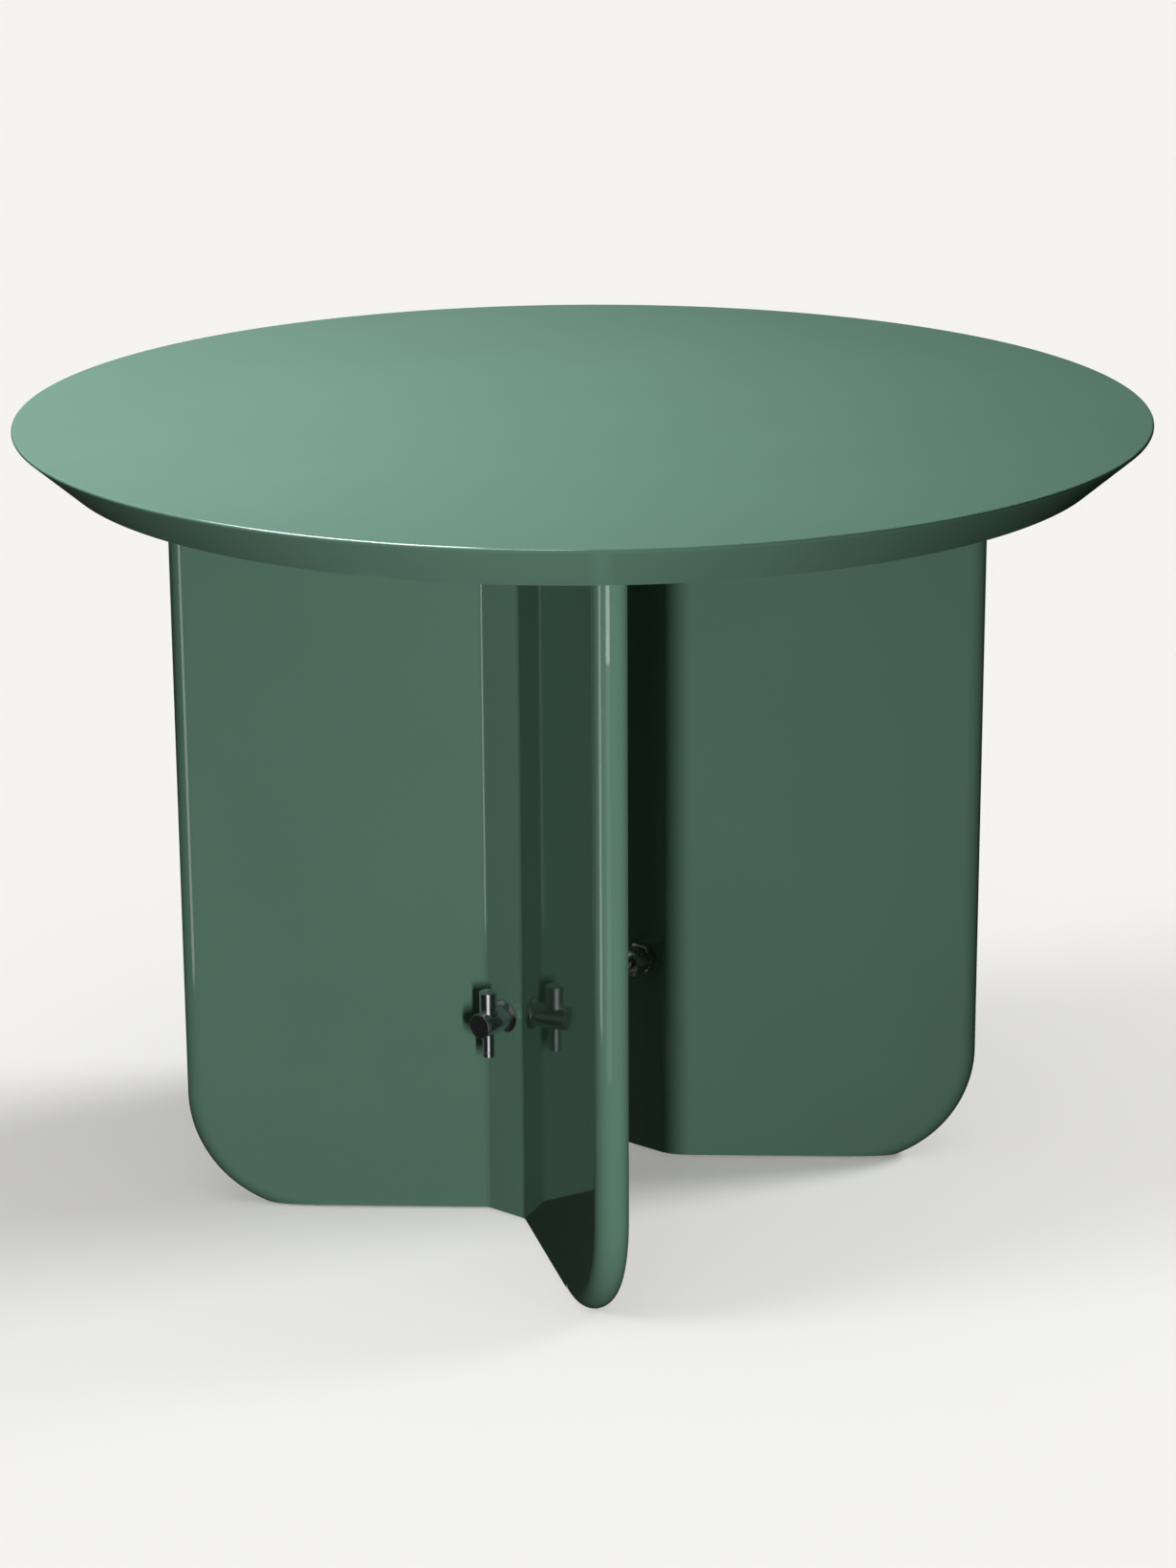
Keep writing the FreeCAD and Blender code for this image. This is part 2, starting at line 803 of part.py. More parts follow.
def make_tap_end_plug(label, turn):
    """Flat disc that closes the barrel's front end, on a short spigot."""
    c = cells
    face = c.tap_end
    back = face - c.plug_thickness
    outline = [
        (0, out(face)),
        (c.barrel_radius - c.plug_chamfer, out(face)),
        (c.barrel_radius, out(face - c.plug_chamfer)),
        (c.barrel_radius, out(back)),
        (c.plug_spigot, out(back)),
        (c.plug_spigot, out(back - c.plug_spigot_length)),
        (0, out(back - c.plug_spigot_length)),
    ]
    place(turned(label, outline, "XY_Plane"), z=c.tap_height, turn=turn)


def make_tap_rosette(label, turn):
    """Thin round cover at the wall, dished towards the barrel."""
    c = cells
    near = c.gasket_thickness
    far = near + c.rosette_thickness
    outline = [
        (c.shank_radius, out(near)),
        (c.rosette_radius, out(near)),
        (c.rosette_radius, out(near + c.rosette_lip)),
        (c.barrel_radius, out(far)),
        (c.shank_radius, out(far)),
    ]
    place(turned(label, outline, "XY_Plane"), z=c.tap_height, turn=turn)


def make_tap_gasket(label, turn):
    c = cells
    outline = tube_outline(c.shank_radius, c.gasket_radius, out(c.gasket_thickness), out(ZERO))
    place(turned(label, outline, "XY_Plane"), z=c.tap_height, turn=turn)


def make_tap_backnut(label, turn):
    """Hexagon nut that draws the tap against the leg from behind."""
    c = cells
    back = -c.leg_thickness
    far = back - c.backnut_thickness
    blank = hexagon(f"{label}_blank", c.backnut_radius, out(back), out(far), "Y")
    thread = cylinder(f"{label}_thread", c.shank_radius, out(back), out(far), "Y")
    place(node(label, cut(label, blank, thread)), z=c.tap_height, turn=turn)


def make_tap_gland(label, turn):
    """Bush screwed into the well: it guides the stem and the knob's skirt slides over it."""
    c = cells
    neck = c.knob_radius - c.knob_wall - c.knob_play
    bore = c.stem_radius + c.stem_play
    outline = [
        (bore, c.gland_foot),
        (c.gland_thread, c.gland_foot),
        (c.gland_thread, c.counterbore_floor),
        (neck, c.counterbore_floor),
        (neck, c.gland_top),
        (bore, c.gland_top),
    ]
    place(turned(label, outline), y=out(c.tap_reach), z=c.tap_height, turn=turn)


def make_tap_knob(label, turn):
    """Cup-shaped push knob with a softly rounded crown."""
    c = cells
    inner = c.knob_radius - c.knob_wall
    crown = c.knob_crown
    high = c.knob_top
    roof = high - c.knob_roof
    outline = [
        (0, roof),
        (inner, roof),
        (inner, c.knob_skirt),
        (c.knob_radius, c.knob_skirt),
        (c.knob_radius, high - crown, (c.knob_radius - crown, high - crown), crown),
        (c.knob_radius - crown, high),
        (0, high),
    ]
    place(turned(label, outline), y=out(c.tap_reach), z=c.tap_height, turn=turn)


def make_tap_stem(label, turn):
    c = cells
    top = c.knob_top - c.knob_roof
    foot = -(c.seat_bottom + c.disc_gap)
    stem = turned(label, tube_outline(0, c.stem_radius, foot, top))
    place(stem, y=out(c.tap_reach), z=c.tap_height, turn=turn)


def make_tap_valve_disc(label, turn):
    """Soft disc under the seat, carried by the stem's lower end."""
    c = cells
    top = -(c.seat_bottom + c.disc_gap)
    disc = turned(label, tube_outline(0, c.disc_radius, top - c.disc_thickness, top))
    place(disc, y=out(c.tap_reach), z=c.tap_height, turn=turn)


def make_tap_spring(label, turn):
    """Return spring between the gland and the knob's roof."""
    c = cells
    low = c.gland_top + c.spring_wire
    height = c.knob_top - c.knob_roof - c.gland_top - c.spring_wire * 2
    body = new_body(label)
    sketch = new_sketch(body, "wire", "XZ_Plane")
    draw_circle(sketch, c.spring_radius, low, c.spring_wire)
    helix = body.newObject("PartDesign::AdditiveHelix", f"{body.Name}_helix")
    helix.Profile = sketch
    helix.ReferenceAxis = (sketch, ["V_Axis"])
    helix.Mode = "pitch-height-angle"
    bind(helix, "Pitch", height / c.spring_coils)
    bind(helix, "Height", height)
    place(body, y=out(c.tap_reach), z=c.tap_height, turn=turn)


def make_tap_nozzle(label, turn):
    """Downward spout, screwed up into the barrel."""
    c = cells
    low = -c.nozzle_end
    outline = [
        (c.nozzle_bore, low),
        (c.nozzle_radius - c.nozzle_lip, low),
        (c.nozzle_radius, low + c.nozzle_lip),
        (c.nozzle_radius, -c.seat_bottom),
        (c.nozzle_bore, -c.seat_bottom),
    ]
    place(turned(label, outline), y=out(c.tap_reach), z=c.tap_height, turn=turn)


def make_tap_straightener(label, turn):
    """Ring with crossed vanes near the spout's mouth, which steadies the stream."""
    c = cells
    low = -(c.nozzle_end - c.vane_thickness)
    high = low + c.straightener_length
    at = (0, 0, 0)
    ring = cylinder(f"{label}_ring", c.nozzle_bore, low, high, at=at)
    hollow = cylinder(f"{label}_hollow", c.nozzle_bore - c.vane_thickness, low, high, at=at)
    reach = c.nozzle_bore - c.vane_thickness / 2
    half = c.vane_thickness / 2
    vanes = [
        box(f"{label}_vane_x", (-reach, -half, low), (reach * 2, c.vane_thickness, high - low)),
        box(f"{label}_vane_y", (-half, -reach, low), (c.vane_thickness, reach * 2, high - low)),
    ]
    body = node(label, fused(label, [cut(f"{label}_wall", ring, hollow)] + vanes))
    place(body, y=out(c.tap_reach), z=c.tap_height, turn=turn)


TAP_PIECES = {
    "body": make_tap_body,
    "end_plug": make_tap_end_plug,
    "rosette": make_tap_rosette,
    "gasket": make_tap_gasket,
    "backnut": make_tap_backnut,
    "gland": make_tap_gland,
    "knob": make_tap_knob,
    "stem": make_tap_stem,
    "valve_disc": make_tap_valve_disc,
    "spring": make_tap_spring,
    "nozzle": make_tap_nozzle,
    "straightener": make_tap_straightener,
}


def make_tap(side, turn):
    for piece, make in TAP_PIECES.items():
        make(f"{side}_tap_{piece}", turn)


# ---------------------------------------------------------------- supply line
pipe_bore = cells.pipe_radius - cells.pipe_wall
valve_low = cells.valve_height - cells.valve_half_length
valve_high = cells.valve_height + cells.valve_half_length
shank_tail = cells.strip_face - cells.shank_length


def make_pipes():
    """Inlet tail and riser on the upright axis, and one cross pipe to each tap."""
    c = cells
    stop = c.inlet_foot + c.inlet_free
    inlet = [
        (pipe_bore, c.inlet_foot),
        (c.pipe_radius, c.inlet_foot),
        (c.pipe_radius, stop),
        (c.collar_radius, stop),
        (c.collar_radius, stop + c.collar_height),
        (c.pipe_radius, stop + c.collar_height),
        (c.pipe_radius, valve_low + c.socket_depth),
        (pipe_bore, valve_low + c.socket_depth),
    ]
    turned("inlet_pipe", inlet)
    low = valve_high - c.socket_depth
    high = c.tap_height - c.tee_arm + c.socket_depth
    turned("riser_pipe", tube_outline(pipe_bore, c.pipe_radius, low, high))
    near = c.tee_arm - c.socket_depth
    for side, turn in SIDES.items():
        outline = tube_outline(pipe_bore, c.pipe_radius, -shank_tail, -near)
        place(turned(f"{side}_cross_pipe", outline, "XY_Plane"), z=c.tap_height, turn=turn)


def make_valve_body():
    """Ball valve body: sockets for the pipes, a chamber for the ball and a neck for the spindle."""
    c = cells
    middle = (0, 0, c.valve_height)
    room = c.ball_radius + c.ball_room
    half = c.valve_half_length
    solid = fused(
        "valve_solid",
        [
            cylinder("valve_ends", c.valve_end_radius, -half, half, at=middle),
            cylinder("valve_belly", c.valve_radius, -c.valve_waist, c.valve_waist, at=middle),
            cylinder("valve_neck", c.neck_radius, 0, c.neck_reach, "X", middle),
        ],
    )
    voids = fused(
        "valve_voids",
        [
            cylinder("valve_socket_low", c.pipe_radius, -half, c.socket_depth - half, at=middle),
            cylinder("valve_socket_high", c.pipe_radius, half - c.socket_depth, half, at=middle),
            cylinder("valve_waterway", c.ball_bore, -half, half, at=middle),
            cylinder("valve_chamber", room, -room, room, at=middle),
            cylinder("valve_spindle_hole", c.spindle_radius + c.spindle_play, 0, c.neck_reach,
                     "X", middle),
        ],
    )
    node("stop_valve_body", cut("stop_valve_body", solid, voids))


def make_valve_ball():
    """Bored ball with a flat for the spindle, shown open."""
    c = cells
    middle = (0, 0, c.valve_height)
    ball = document.addObject("Part::Sphere", "ball_blank")
    bind(ball, "Radius", c.ball_radius)
    place(ball, z=c.valve_height)
    bore = cylinder("ball_bore", c.ball_bore, -c.ball_radius, c.ball_radius, at=middle)
    flat = cylinder("ball_flat", c.ball_radius, c.ball_flat, c.ball_radius, "X", middle)
    node("stop_valve_ball", cut("stop_valve_ball", ball, fused("ball_tools", [bore, flat])))


def make_valve_spindle():
    c = cells
    far = c.lever_near + c.lever_thickness + c.lever_nut_thickness
    middle = (0, 0, c.valve_height)
    spindle = cylinder("stop_valve_spindle", c.spindle_radius, c.ball_flat, far, "X", middle)
    node("stop_valve_spindle", spindle)


def make_valve_lever():
    """Flat lever that stands up along the pipe when the valve is open."""
    c = cells
    half = c.lever_width / 2
    body = new_body("stop_valve_lever")
    sketch = new_sketch(body, "plan", "YZ_Plane", c.lever_near)
    low, high = ZERO, c.lever_length
    outline = [
        (half, low),
        (half, high, (ZERO, high), half),
        (ZERO, high + half, (ZERO, high), half),
        (-half, high),
        (-half, low, (ZERO, low), half),
        (ZERO, -half, (ZERO, low), half),
    ]
    draw_outline(sketch, outline)
    draw_circle(sketch, 0, 0, c.spindle_radius)
    pad(body, sketch, c.lever_thickness)
    place(body, z=c.valve_height)


def make_valve_lever_nut():
    c = cells
    near = c.lever_near + c.lever_thickness
    far = near + c.lever_nut_thickness
    middle = (0, 0, c.valve_height)
    blank = hexagon("lever_nut_blank", c.lever_nut_radius, near, far, "X", middle)
    hole = cylinder("lever_nut_hole", c.spindle_radius, near, far, "X", middle)
    node("stop_valve_lever_nut", cut("stop_valve_lever_nut", blank, hole))


def pipe_nut(name, inner_end, axis, at):
    """Nut that covers a socket's mouth: it starts on the fitting and ends on the pipe.

    inner_end is the signed distance along the axis from at to the end on the fitting.
    """
    c = cells
    away = 1 if inner_end.value > 0 else -1
    mouth = inner_end + c.nut_inset * away
    outer_end = inner_end + c.nut_length * away
    low, high = (inner_end, outer_end) if away > 0 else (outer_end, inner_end)
    blank = hexagon(f"{name}_blank", c.nut_radius, low, high, axis, at)
    pipe = cylinder(f"{name}_pipe", c.pipe_radius, low, high, axis, at)
    low, high = (inner_end, mouth) if away > 0 else (mouth, inner_end)
    fitting = cylinder(f"{name}_fitting", c.tee_radius, low, high, axis, at)
    return cut(name, blank, fused(f"{name}_voids", [pipe, fitting]))


def make_pipe_nuts():
    c = cells
    valve = (0, 0, c.valve_height)
    tee = (0, 0, c.tap_height)
    valve_end = c.valve_half_length - c.nut_inset
    tee_end = c.tee_arm - c.nut_inset
    valve_nuts = [
        pipe_nut("valve_nut_low", -valve_end, "Z", valve),
        pipe_nut("valve_nut_high", valve_end, "Z", valve),
    ]
    tee_nuts = [
        pipe_nut("tee_nut_low", -tee_end, "Z", tee),
        pipe_nut("tee_nut_front", -tee_end, "Y", tee),
        pipe_nut("tee_nut_rear", tee_end, "Y", tee),
    ]
    node("stop_valve_nuts", group("stop_valve_nuts", valve_nuts))
    node("tee_nuts", group("tee_nuts", tee_nuts))


def make_tee():
    """Tee that splits the riser's water between the two cross pipes."""
    c = cells
    middle = (0, 0, c.tap_height)
    arm = c.tee_arm
    stop = arm - c.socket_depth
    solid = fused(
        "tee_solid",
        [
            cylinder("tee_run", c.tee_radius, -arm, arm, "Y", middle),
            cylinder("tee_branch", c.tee_radius, -arm, 0, at=middle),
        ],
    )
    voids = fused(
        "tee_voids",
        [
            cylinder("tee_run_bore", pipe_bore, -arm, arm, "Y", middle),
            cylinder("tee_branch_bore", pipe_bore, -arm, 0, at=middle),
            cylinder("tee_socket_front", c.pipe_radius, -arm, -stop, "Y", middle),
            cylinder("tee_socket_rear", c.pipe_radius, stop, arm, "Y", middle),
            cylinder("tee_socket_low", c.pipe_radius, -arm, -stop, at=middle),
        ],
    )
    node("supply_tee", cut("supply_tee", solid, voids))


def make_tap_connector(label, turn):
    """Union nut that joins a tap's shank to its cross pipe."""
    c = cells
    joint = -shank_tail
    low = joint - c.thread_overlap
    high = low + c.connector_length
    blank = hexagon(f"{label}_blank", c.connector_radius, low, high, "Y")
    thread = cylinder(f"{label}_thread", c.shank_radius, low, joint, "Y")
    pipe = cylinder(f"{label}_pipe", c.pipe_radius, joint, high, "Y")
    nut = node(label, cut(label, blank, fused(f"{label}_voids", [thread, pipe])))
    place(nut, z=c.tap_height, turn=turn)


# ---------------------------------------------------------------- assembly
def make_everything():
    make_top_skin()
    make_top_core()
    make_underside_plate()
    make_hub_plate()
    make_hub_bolts_and_inserts()
    for side, turn in SIDES.items():
        make_leg(side, turn)
        make_tap(side, turn)
        make_tap_connector(f"{side}_tap_connector", turn)
    make_pipes()
    make_valve_body()
    make_valve_ball()
    make_valve_spindle()
    make_valve_lever()
    make_valve_lever_nut()
    make_pipe_nuts()
    make_tee()
    document.recompute()


def check_everything():
    """Stop before writing anything if an object failed or a sub-part has no sound shape."""
    faults = [
        f"{item.Label}: {item.State}"
        for item in document.Objects
        if "Invalid" in item.State or "Error" in item.State
    ]
    faults += [
        f"{label}: no sound shape"
        for label, item in nodes.items()
        if item.Shape.isNull() or not item.Shape.isValid() or not item.Shape.Solids
    ]
    if faults:
        raise RuntimeError("\n".join(faults))


def write_everything():
    os.makedirs("parts", exist_ok=True)
    for label, item in nodes.items():
        item.Shape.exportStep(f"parts/{label}.step")
        box_of = item.Shape.optimalBoundingBox()
        print(
            f"{label}: {len(item.Shape.Solids)} solids, {item.Shape.Volume:.0f} mm3,"
            f" x {box_of.XMin:.1f}..{box_of.XMax:.1f}, y {box_of.YMin:.1f}..{box_of.YMax:.1f},"
            f" z {box_of.ZMin:.1f}..{box_of.ZMax:.1f}"
        )


make_everything()
check_everything()
write_everything()
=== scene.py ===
"""Looks for the round-topped water point: its visible pieces, finishes, light and camera."""
import json
import math

import bmesh
import bpy
from mathutils import Matrix, Vector

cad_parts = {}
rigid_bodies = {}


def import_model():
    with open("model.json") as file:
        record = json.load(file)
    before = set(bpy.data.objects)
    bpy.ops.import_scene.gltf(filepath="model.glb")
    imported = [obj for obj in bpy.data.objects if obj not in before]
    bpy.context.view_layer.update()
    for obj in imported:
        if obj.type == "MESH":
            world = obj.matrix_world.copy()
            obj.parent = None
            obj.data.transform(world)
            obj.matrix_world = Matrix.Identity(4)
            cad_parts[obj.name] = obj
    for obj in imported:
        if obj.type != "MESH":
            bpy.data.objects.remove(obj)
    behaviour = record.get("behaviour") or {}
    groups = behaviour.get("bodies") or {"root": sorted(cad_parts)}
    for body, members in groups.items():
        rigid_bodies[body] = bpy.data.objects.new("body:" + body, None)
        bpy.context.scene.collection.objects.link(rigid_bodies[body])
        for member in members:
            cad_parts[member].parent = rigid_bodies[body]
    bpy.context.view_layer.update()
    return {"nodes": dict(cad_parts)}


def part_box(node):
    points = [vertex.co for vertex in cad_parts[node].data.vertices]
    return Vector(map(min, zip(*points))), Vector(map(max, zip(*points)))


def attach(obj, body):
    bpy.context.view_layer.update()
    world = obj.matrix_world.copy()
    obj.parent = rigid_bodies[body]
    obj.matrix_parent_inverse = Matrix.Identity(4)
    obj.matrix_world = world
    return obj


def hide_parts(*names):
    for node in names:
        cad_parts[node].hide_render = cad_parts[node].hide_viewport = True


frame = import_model()

MM = 0.001
MERGE = 1e-6
FINE_MERGE = 1e-7
HALF_TURN = Matrix.Rotation(math.pi, 4, "Z")

# ---------------------------------------------------------------- camera, in degrees and metres
CAMERA_AZIMUTH = 39.288
CAMERA_DISTANCE = 3.6231
CAMERA_HEIGHT = 1.5124
CAMERA_PITCH = 17.307
CAMERA_PAN = 0.047
CAMERA_ROLL = 0.323
LENS_MM = 96.14
SENSOR_MM = 36.0

# ---------------------------------------------------------------- leg shape, in metres and radians
LEG_THICKNESS = 0.030
SHEET = 0.0025
STRIP_HALF = 0.0215
WING_ANGLE = math.radians(53.2)
WING_LENGTH = 0.260
BEND_RADIUS = 0.010
CORNER_RADIUS = 0.100
CORNER_HEIGHT = 0.107
CORNER_START = WING_LENGTH - CORNER_RADIUS
FOOT_STRIP_FAR_SIDE = 0.024
STRIP_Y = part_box("front_leg_foot_pads")[1].y - FOOT_STRIP_FAR_SIDE
BEND_RUN = BEND_RADIUS * math.tan((math.pi / 2 - WING_ANGLE) / 2)
BEND_STEPS = 10
NOSE_STEPS = 24
CORNER_STEPS = 48

# ---------------------------------------------------------------- water fittings and their nuts
SHANK_RADIUS = 10.4 * MM
BARREL_RADIUS = 11.25 * MM
PIPE_RADIUS = 7.5 * MM
FITTING_RADIUS = 10.0 * MM
SPINDLE_RADIUS = 3.0 * MM
PIPE_NUT_LENGTH = 11.0 * MM
PIPE_NUT_COVER = 6.0 * MM
UNION_THREAD = 7.0 * MM
NUT_FACE_SHARE = 0.95
NUT_LAND_SHARE = 0.985
NUT_SHARP = 20.0


def studio(right, front, height):
    """A point measured from the middle axis: to the viewer's right, towards the viewer, and up."""
    turn = math.radians(CAMERA_AZIMUTH)
    return Vector((
        right * math.cos(turn) + front * math.sin(turn),
        right * math.sin(turn) - front * math.cos(turn),
        height,
    ))


# ---------------------------------------------------------------- material nodes
SMEAR_SCALE = 4
ROUGHNESS_SHARE = 0.1


def add_node(tree, kind, **values):
    made = tree.nodes.new(kind)
    for key, value in values.items():
        if key in made.inputs:
            made.inputs[key].default_value = value
        else:
            setattr(made, key, value)
    return made


def noise(tree, place, scale, stretch=(1.0, 1.0, 1.0), detail=4.0):
    """Noise output on the object's own coordinates, squeezed along each axis by stretch."""
    mapping = add_node(tree, "ShaderNodeMapping", Scale=stretch)
    tree.links.new(place.outputs["Object"], mapping.inputs["Vector"])
    texture = add_node(tree, "ShaderNodeTexNoise", Scale=scale, Detail=detail, Roughness=0.5)
    tree.links.new(mapping.outputs["Vector"], texture.inputs["Vector"])
    return texture.outputs["Fac"]


def spread(tree, source, low, high):
    """Moves the middle of a noise output to the range from low to high."""
    ramp = add_node(tree, "ShaderNodeMapRange")
    ramp.inputs["From Min"].default_value = 0.3
    ramp.inputs["From Max"].default_value = 0.7
    ramp.inputs["To Min"].default_value = low
    ramp.inputs["To Max"].default_value = high
    tree.links.new(source, ramp.inputs["Value"])
    return ramp.outputs["Result"]


def finish_material(name, colour, metallic, roughness, tone, tone_scale, grain_scale, grain_height,
                    grain_stretch=(1.0, 1.0, 1.0), edge=0.0003):
    """Shader with uneven tone, uneven roughness, a fine grain and, unless edge is 0, broken edges."""
    material = bpy.data.materials.new(name)
    material.use_nodes = True
    tree = material.node_tree
    shader = tree.nodes["Principled BSDF"]
    shader.inputs["Metallic"].default_value = metallic
    shader.inputs["IOR"].default_value = 1.5
    place = add_node(tree, "ShaderNodeTexCoord")

    broad = noise(tree, place, tone_scale, grain_stretch)
    mix = add_node(tree, "ShaderNodeMix", data_type="RGBA")
    mix.inputs["A"].default_value = (*(c * (1 - tone) for c in colour), 1)
    mix.inputs["B"].default_value = (*(min(c * (1 + tone), 1) for c in colour), 1)
    tree.links.new(spread(tree, broad, 0.0, 1.0), mix.inputs["Factor"])
    tree.links.new(mix.outputs["Result"], shader.inputs["Base Color"])

    smear = noise(tree, place, tone_scale * SMEAR_SCALE, grain_stretch)
    low, high = roughness * (1 - ROUGHNESS_SHARE), roughness * (1 + ROUGHNESS_SHARE)
    tree.links.new(spread(tree, smear, low, high), shader.inputs["Roughness"])

    grain = noise(tree, place, grain_scale, grain_stretch, detail=2.0)
    bump = add_node(tree, "ShaderNodeBump", Strength=1.0, Distance=grain_height)
    if edge:
        broken = add_node(tree, "ShaderNodeBevel", Radius=edge, samples=4)
        tree.links.new(broken.outputs["Normal"], bump.inputs["Normal"])
    tree.links.new(grain, bump.inputs["Height"])
    tree.links.new(bump.outputs["Normal"], shader.inputs["Normal"])
    return material


FINISHES = {
    "green_lacquer": dict(colour=(0.084, 0.162, 0.119), metallic=0.0, roughness=0.06, tone=0.02,
                          tone_scale=6.0, grain_scale=260.0, grain_height=0.0000045, edge=0.0),
    "green_satin": dict(colour=(0.060, 0.115, 0.085), metallic=0.0, roughness=0.5, tone=0.05,
                        tone_scale=12.0, grain_scale=1500.0, grain_height=0.00004),
    "board": dict(colour=(0.42, 0.27, 0.14), metallic=0.0, roughness=0.8, tone=0.25,
                  tone_scale=160.0, grain_scale=600.0, grain_height=0.0001),
    "dark_steel": dict(colour=(0.030, 0.034, 0.032), metallic=0.3, roughness=0.42, tone=0.2,
                       tone_scale=35.0, grain_scale=900.0, grain_height=0.00004),
    "bolt_steel": dict(colour=(0.42, 0.42, 0.43), metallic=1.0, roughness=0.34, tone=0.12,
                       tone_scale=120.0, grain_scale=2500.0, grain_height=0.00002),
    "bare_steel": dict(colour=(0.34, 0.34, 0.35), metallic=1.0, roughness=0.42, tone=0.16,
                       tone_scale=30.0, grain_scale=500.0, grain_height=0.00003,
                       grain_stretch=(1.0, 1.0, 0.12)),
    "black_rubber": dict(colour=(0.020, 0.020, 0.021), metallic=0.0, roughness=0.72, tone=0.2,
                         tone_scale=60.0, grain_scale=1800.0, grain_height=0.00008),
    "seal_rubber": dict(colour=(0.028, 0.028, 0.029), metallic=0.0, roughness=0.62, tone=0.15,
                        tone_scale=150.0, grain_scale=3000.0, grain_height=0.00003),
    "tap_chrome": dict(colour=(0.62, 0.64, 0.67), metallic=1.0, roughness=0.22, tone=0.05,
                       tone_scale=90.0, grain_scale=1500.0, grain_height=0.000002),
    "pipe_chrome": dict(colour=(0.55, 0.56, 0.58), metallic=1.0, roughness=0.16, tone=0.06,
                        tone_scale=60.0, grain_scale=1800.0, grain_height=0.000004),
    "nickel_brass": dict(colour=(0.56, 0.54, 0.50), metallic=1.0, roughness=0.27, tone=0.10,
                         tone_scale=90.0, grain_scale=1400.0, grain_height=0.00002),
    "brass": dict(colour=(0.62, 0.43, 0.17), metallic=1.0, roughness=0.28, tone=0.14,
                  tone_scale=120.0, grain_scale=1800.0, grain_height=0.00001),
    "spring_steel": dict(colour=(0.52, 0.52, 0.53), metallic=1.0, roughness=0.24, tone=0.08,
                         tone_scale=200.0, grain_scale=3000.0, grain_height=0.00001),
    "white_plastic": dict(colour=(0.74, 0.74, 0.71), metallic=0.0, roughness=0.45, tone=0.04,
                          tone_scale=150.0, grain_scale=2500.0, grain_height=0.00001),
    "lever_blue": dict(colour=(0.020, 0.075, 0.26), metallic=0.0, roughness=0.38, tone=0.10,
                       tone_scale=80.0, grain_scale=1600.0, grain_height=0.00003),
}
finishes = {slot: finish_material(slot + "_finish", **values) for slot, values in FINISHES.items()}


def dress_cad_nodes():
    """Gives every CAD node the finish of its own slot."""
    for item in frame["nodes"].values():
        for socket in item.material_slots:
            socket.material = finishes[socket.material.name]


# ---------------------------------------------------------------- mesh helpers
def new_piece(name, shape, slot, replaced=(), body="frame", sharp=32.0, turn=False):
    """Turns a bmesh into a smooth-shaded piece that rides on a body and stands for CAD nodes."""
    bmesh.ops.remove_doubles(shape, verts=shape.verts, dist=MERGE)
    bmesh.ops.dissolve_degenerate(shape, edges=shape.edges, dist=FINE_MERGE)
    if turn:
        bmesh.ops.transform(shape, matrix=HALF_TURN, verts=shape.verts)
    bmesh.ops.recalc_face_normals(shape, faces=shape.faces)
    for face in shape.faces:
        face.smooth = True
    for edge in shape.edges:
        edge.smooth = edge.is_manifold and edge.calc_face_angle() < math.radians(sharp)
    mesh = bpy.data.meshes.new(name)
    shape.to_mesh(mesh)
    shape.free()
    mesh.materials.append(finishes[slot])
    piece = bpy.data.objects.new(name, mesh)
    bpy.context.scene.collection.objects.link(piece)
    weighted = piece.modifiers.new("even_shading", "WEIGHTED_NORMAL")
    weighted.keep_sharp = True
    weighted.weight = 100
    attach(piece, body)
    if replaced:
        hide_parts(*replaced)


def add_grid(shape, rows, closed=False):
    """Quads between rows of points; closed joins the last row to the first."""
    made = [[shape.verts.new(point) for point in row] for row in rows]
    pairs = list(zip(made, made[1:]))
    if closed:
        pairs.append((made[-1], made[0]))
    for first, second in pairs:
        for step in range(len(first) - 1):
            shape.faces.new((first[step], first[step + 1], second[step + 1], second[step]))


def arc(start, finish, steps):
    return [start + (finish - start) * step / steps for step in range(steps + 1)]


def softened(outline, radius, steps=3):
    """A closed (radius, height) outline with each corner off the axis rounded."""
    edge_share = 0.45
    straight = math.radians(170)
    result = []
    count = len(outline)
    for index, point in enumerate(outline):
        here = Vector(point)
        before = Vector(outline[index - 1]) - here
        after = Vector(outline[(index + 1) % count]) - here
        reach = min(radius, before.length * edge_share, after.length * edge_share)
        if here.x < MERGE or reach < MERGE or before.angle(after) > straight:
            result.append(here)
            continue
        first = here + before.normalized() * reach
        last = here + after.normalized() * reach
        for step in range(steps + 1):
            share = step / steps
            low = first.lerp(here, share)
            high = here.lerp(last, share)
            result.append(low.lerp(high, share))
    return result


def lathe(outline, centre, axis="Z", segments=96, carve=None):
    """Turns a closed (radius, distance) outline about an axis through centre.

    carve, if given, turns a point's radius, distance and angle into its radius and distance.
    """
    shape = bmesh.new()
    rows = []
    for step in range(segments):
        angle = 2 * math.pi * step / segments
        row = []
        for point in [*outline, outline[0]]:
            radius, along = carve(*point, angle) if carve else point
            across, up = radius * math.cos(angle), radius * math.sin(angle)
            local = {"X": (along, up, across), "Y": (across, along, up), "Z": (across, up, along)}
            row.append(Vector(centre) + Vector(local[axis]))
        rows.append(row)
    add_grid(shape, rows, closed=True)
    return shape


def join_shapes(shapes):
    """Moves several bmeshes into one."""
    whole = bmesh.new()
    for shape in shapes:
        mesh = bpy.data.meshes.new("part")
        shape.to_mesh(mesh)
        shape.free()
        whole.from_mesh(mesh)
        bpy.data.meshes.remove(mesh)
    return whole


def middle(node):
    low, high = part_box(node)
    return (low + high) / 2


def half_size(node):
    low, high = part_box(node)
    return (high - low) / 2


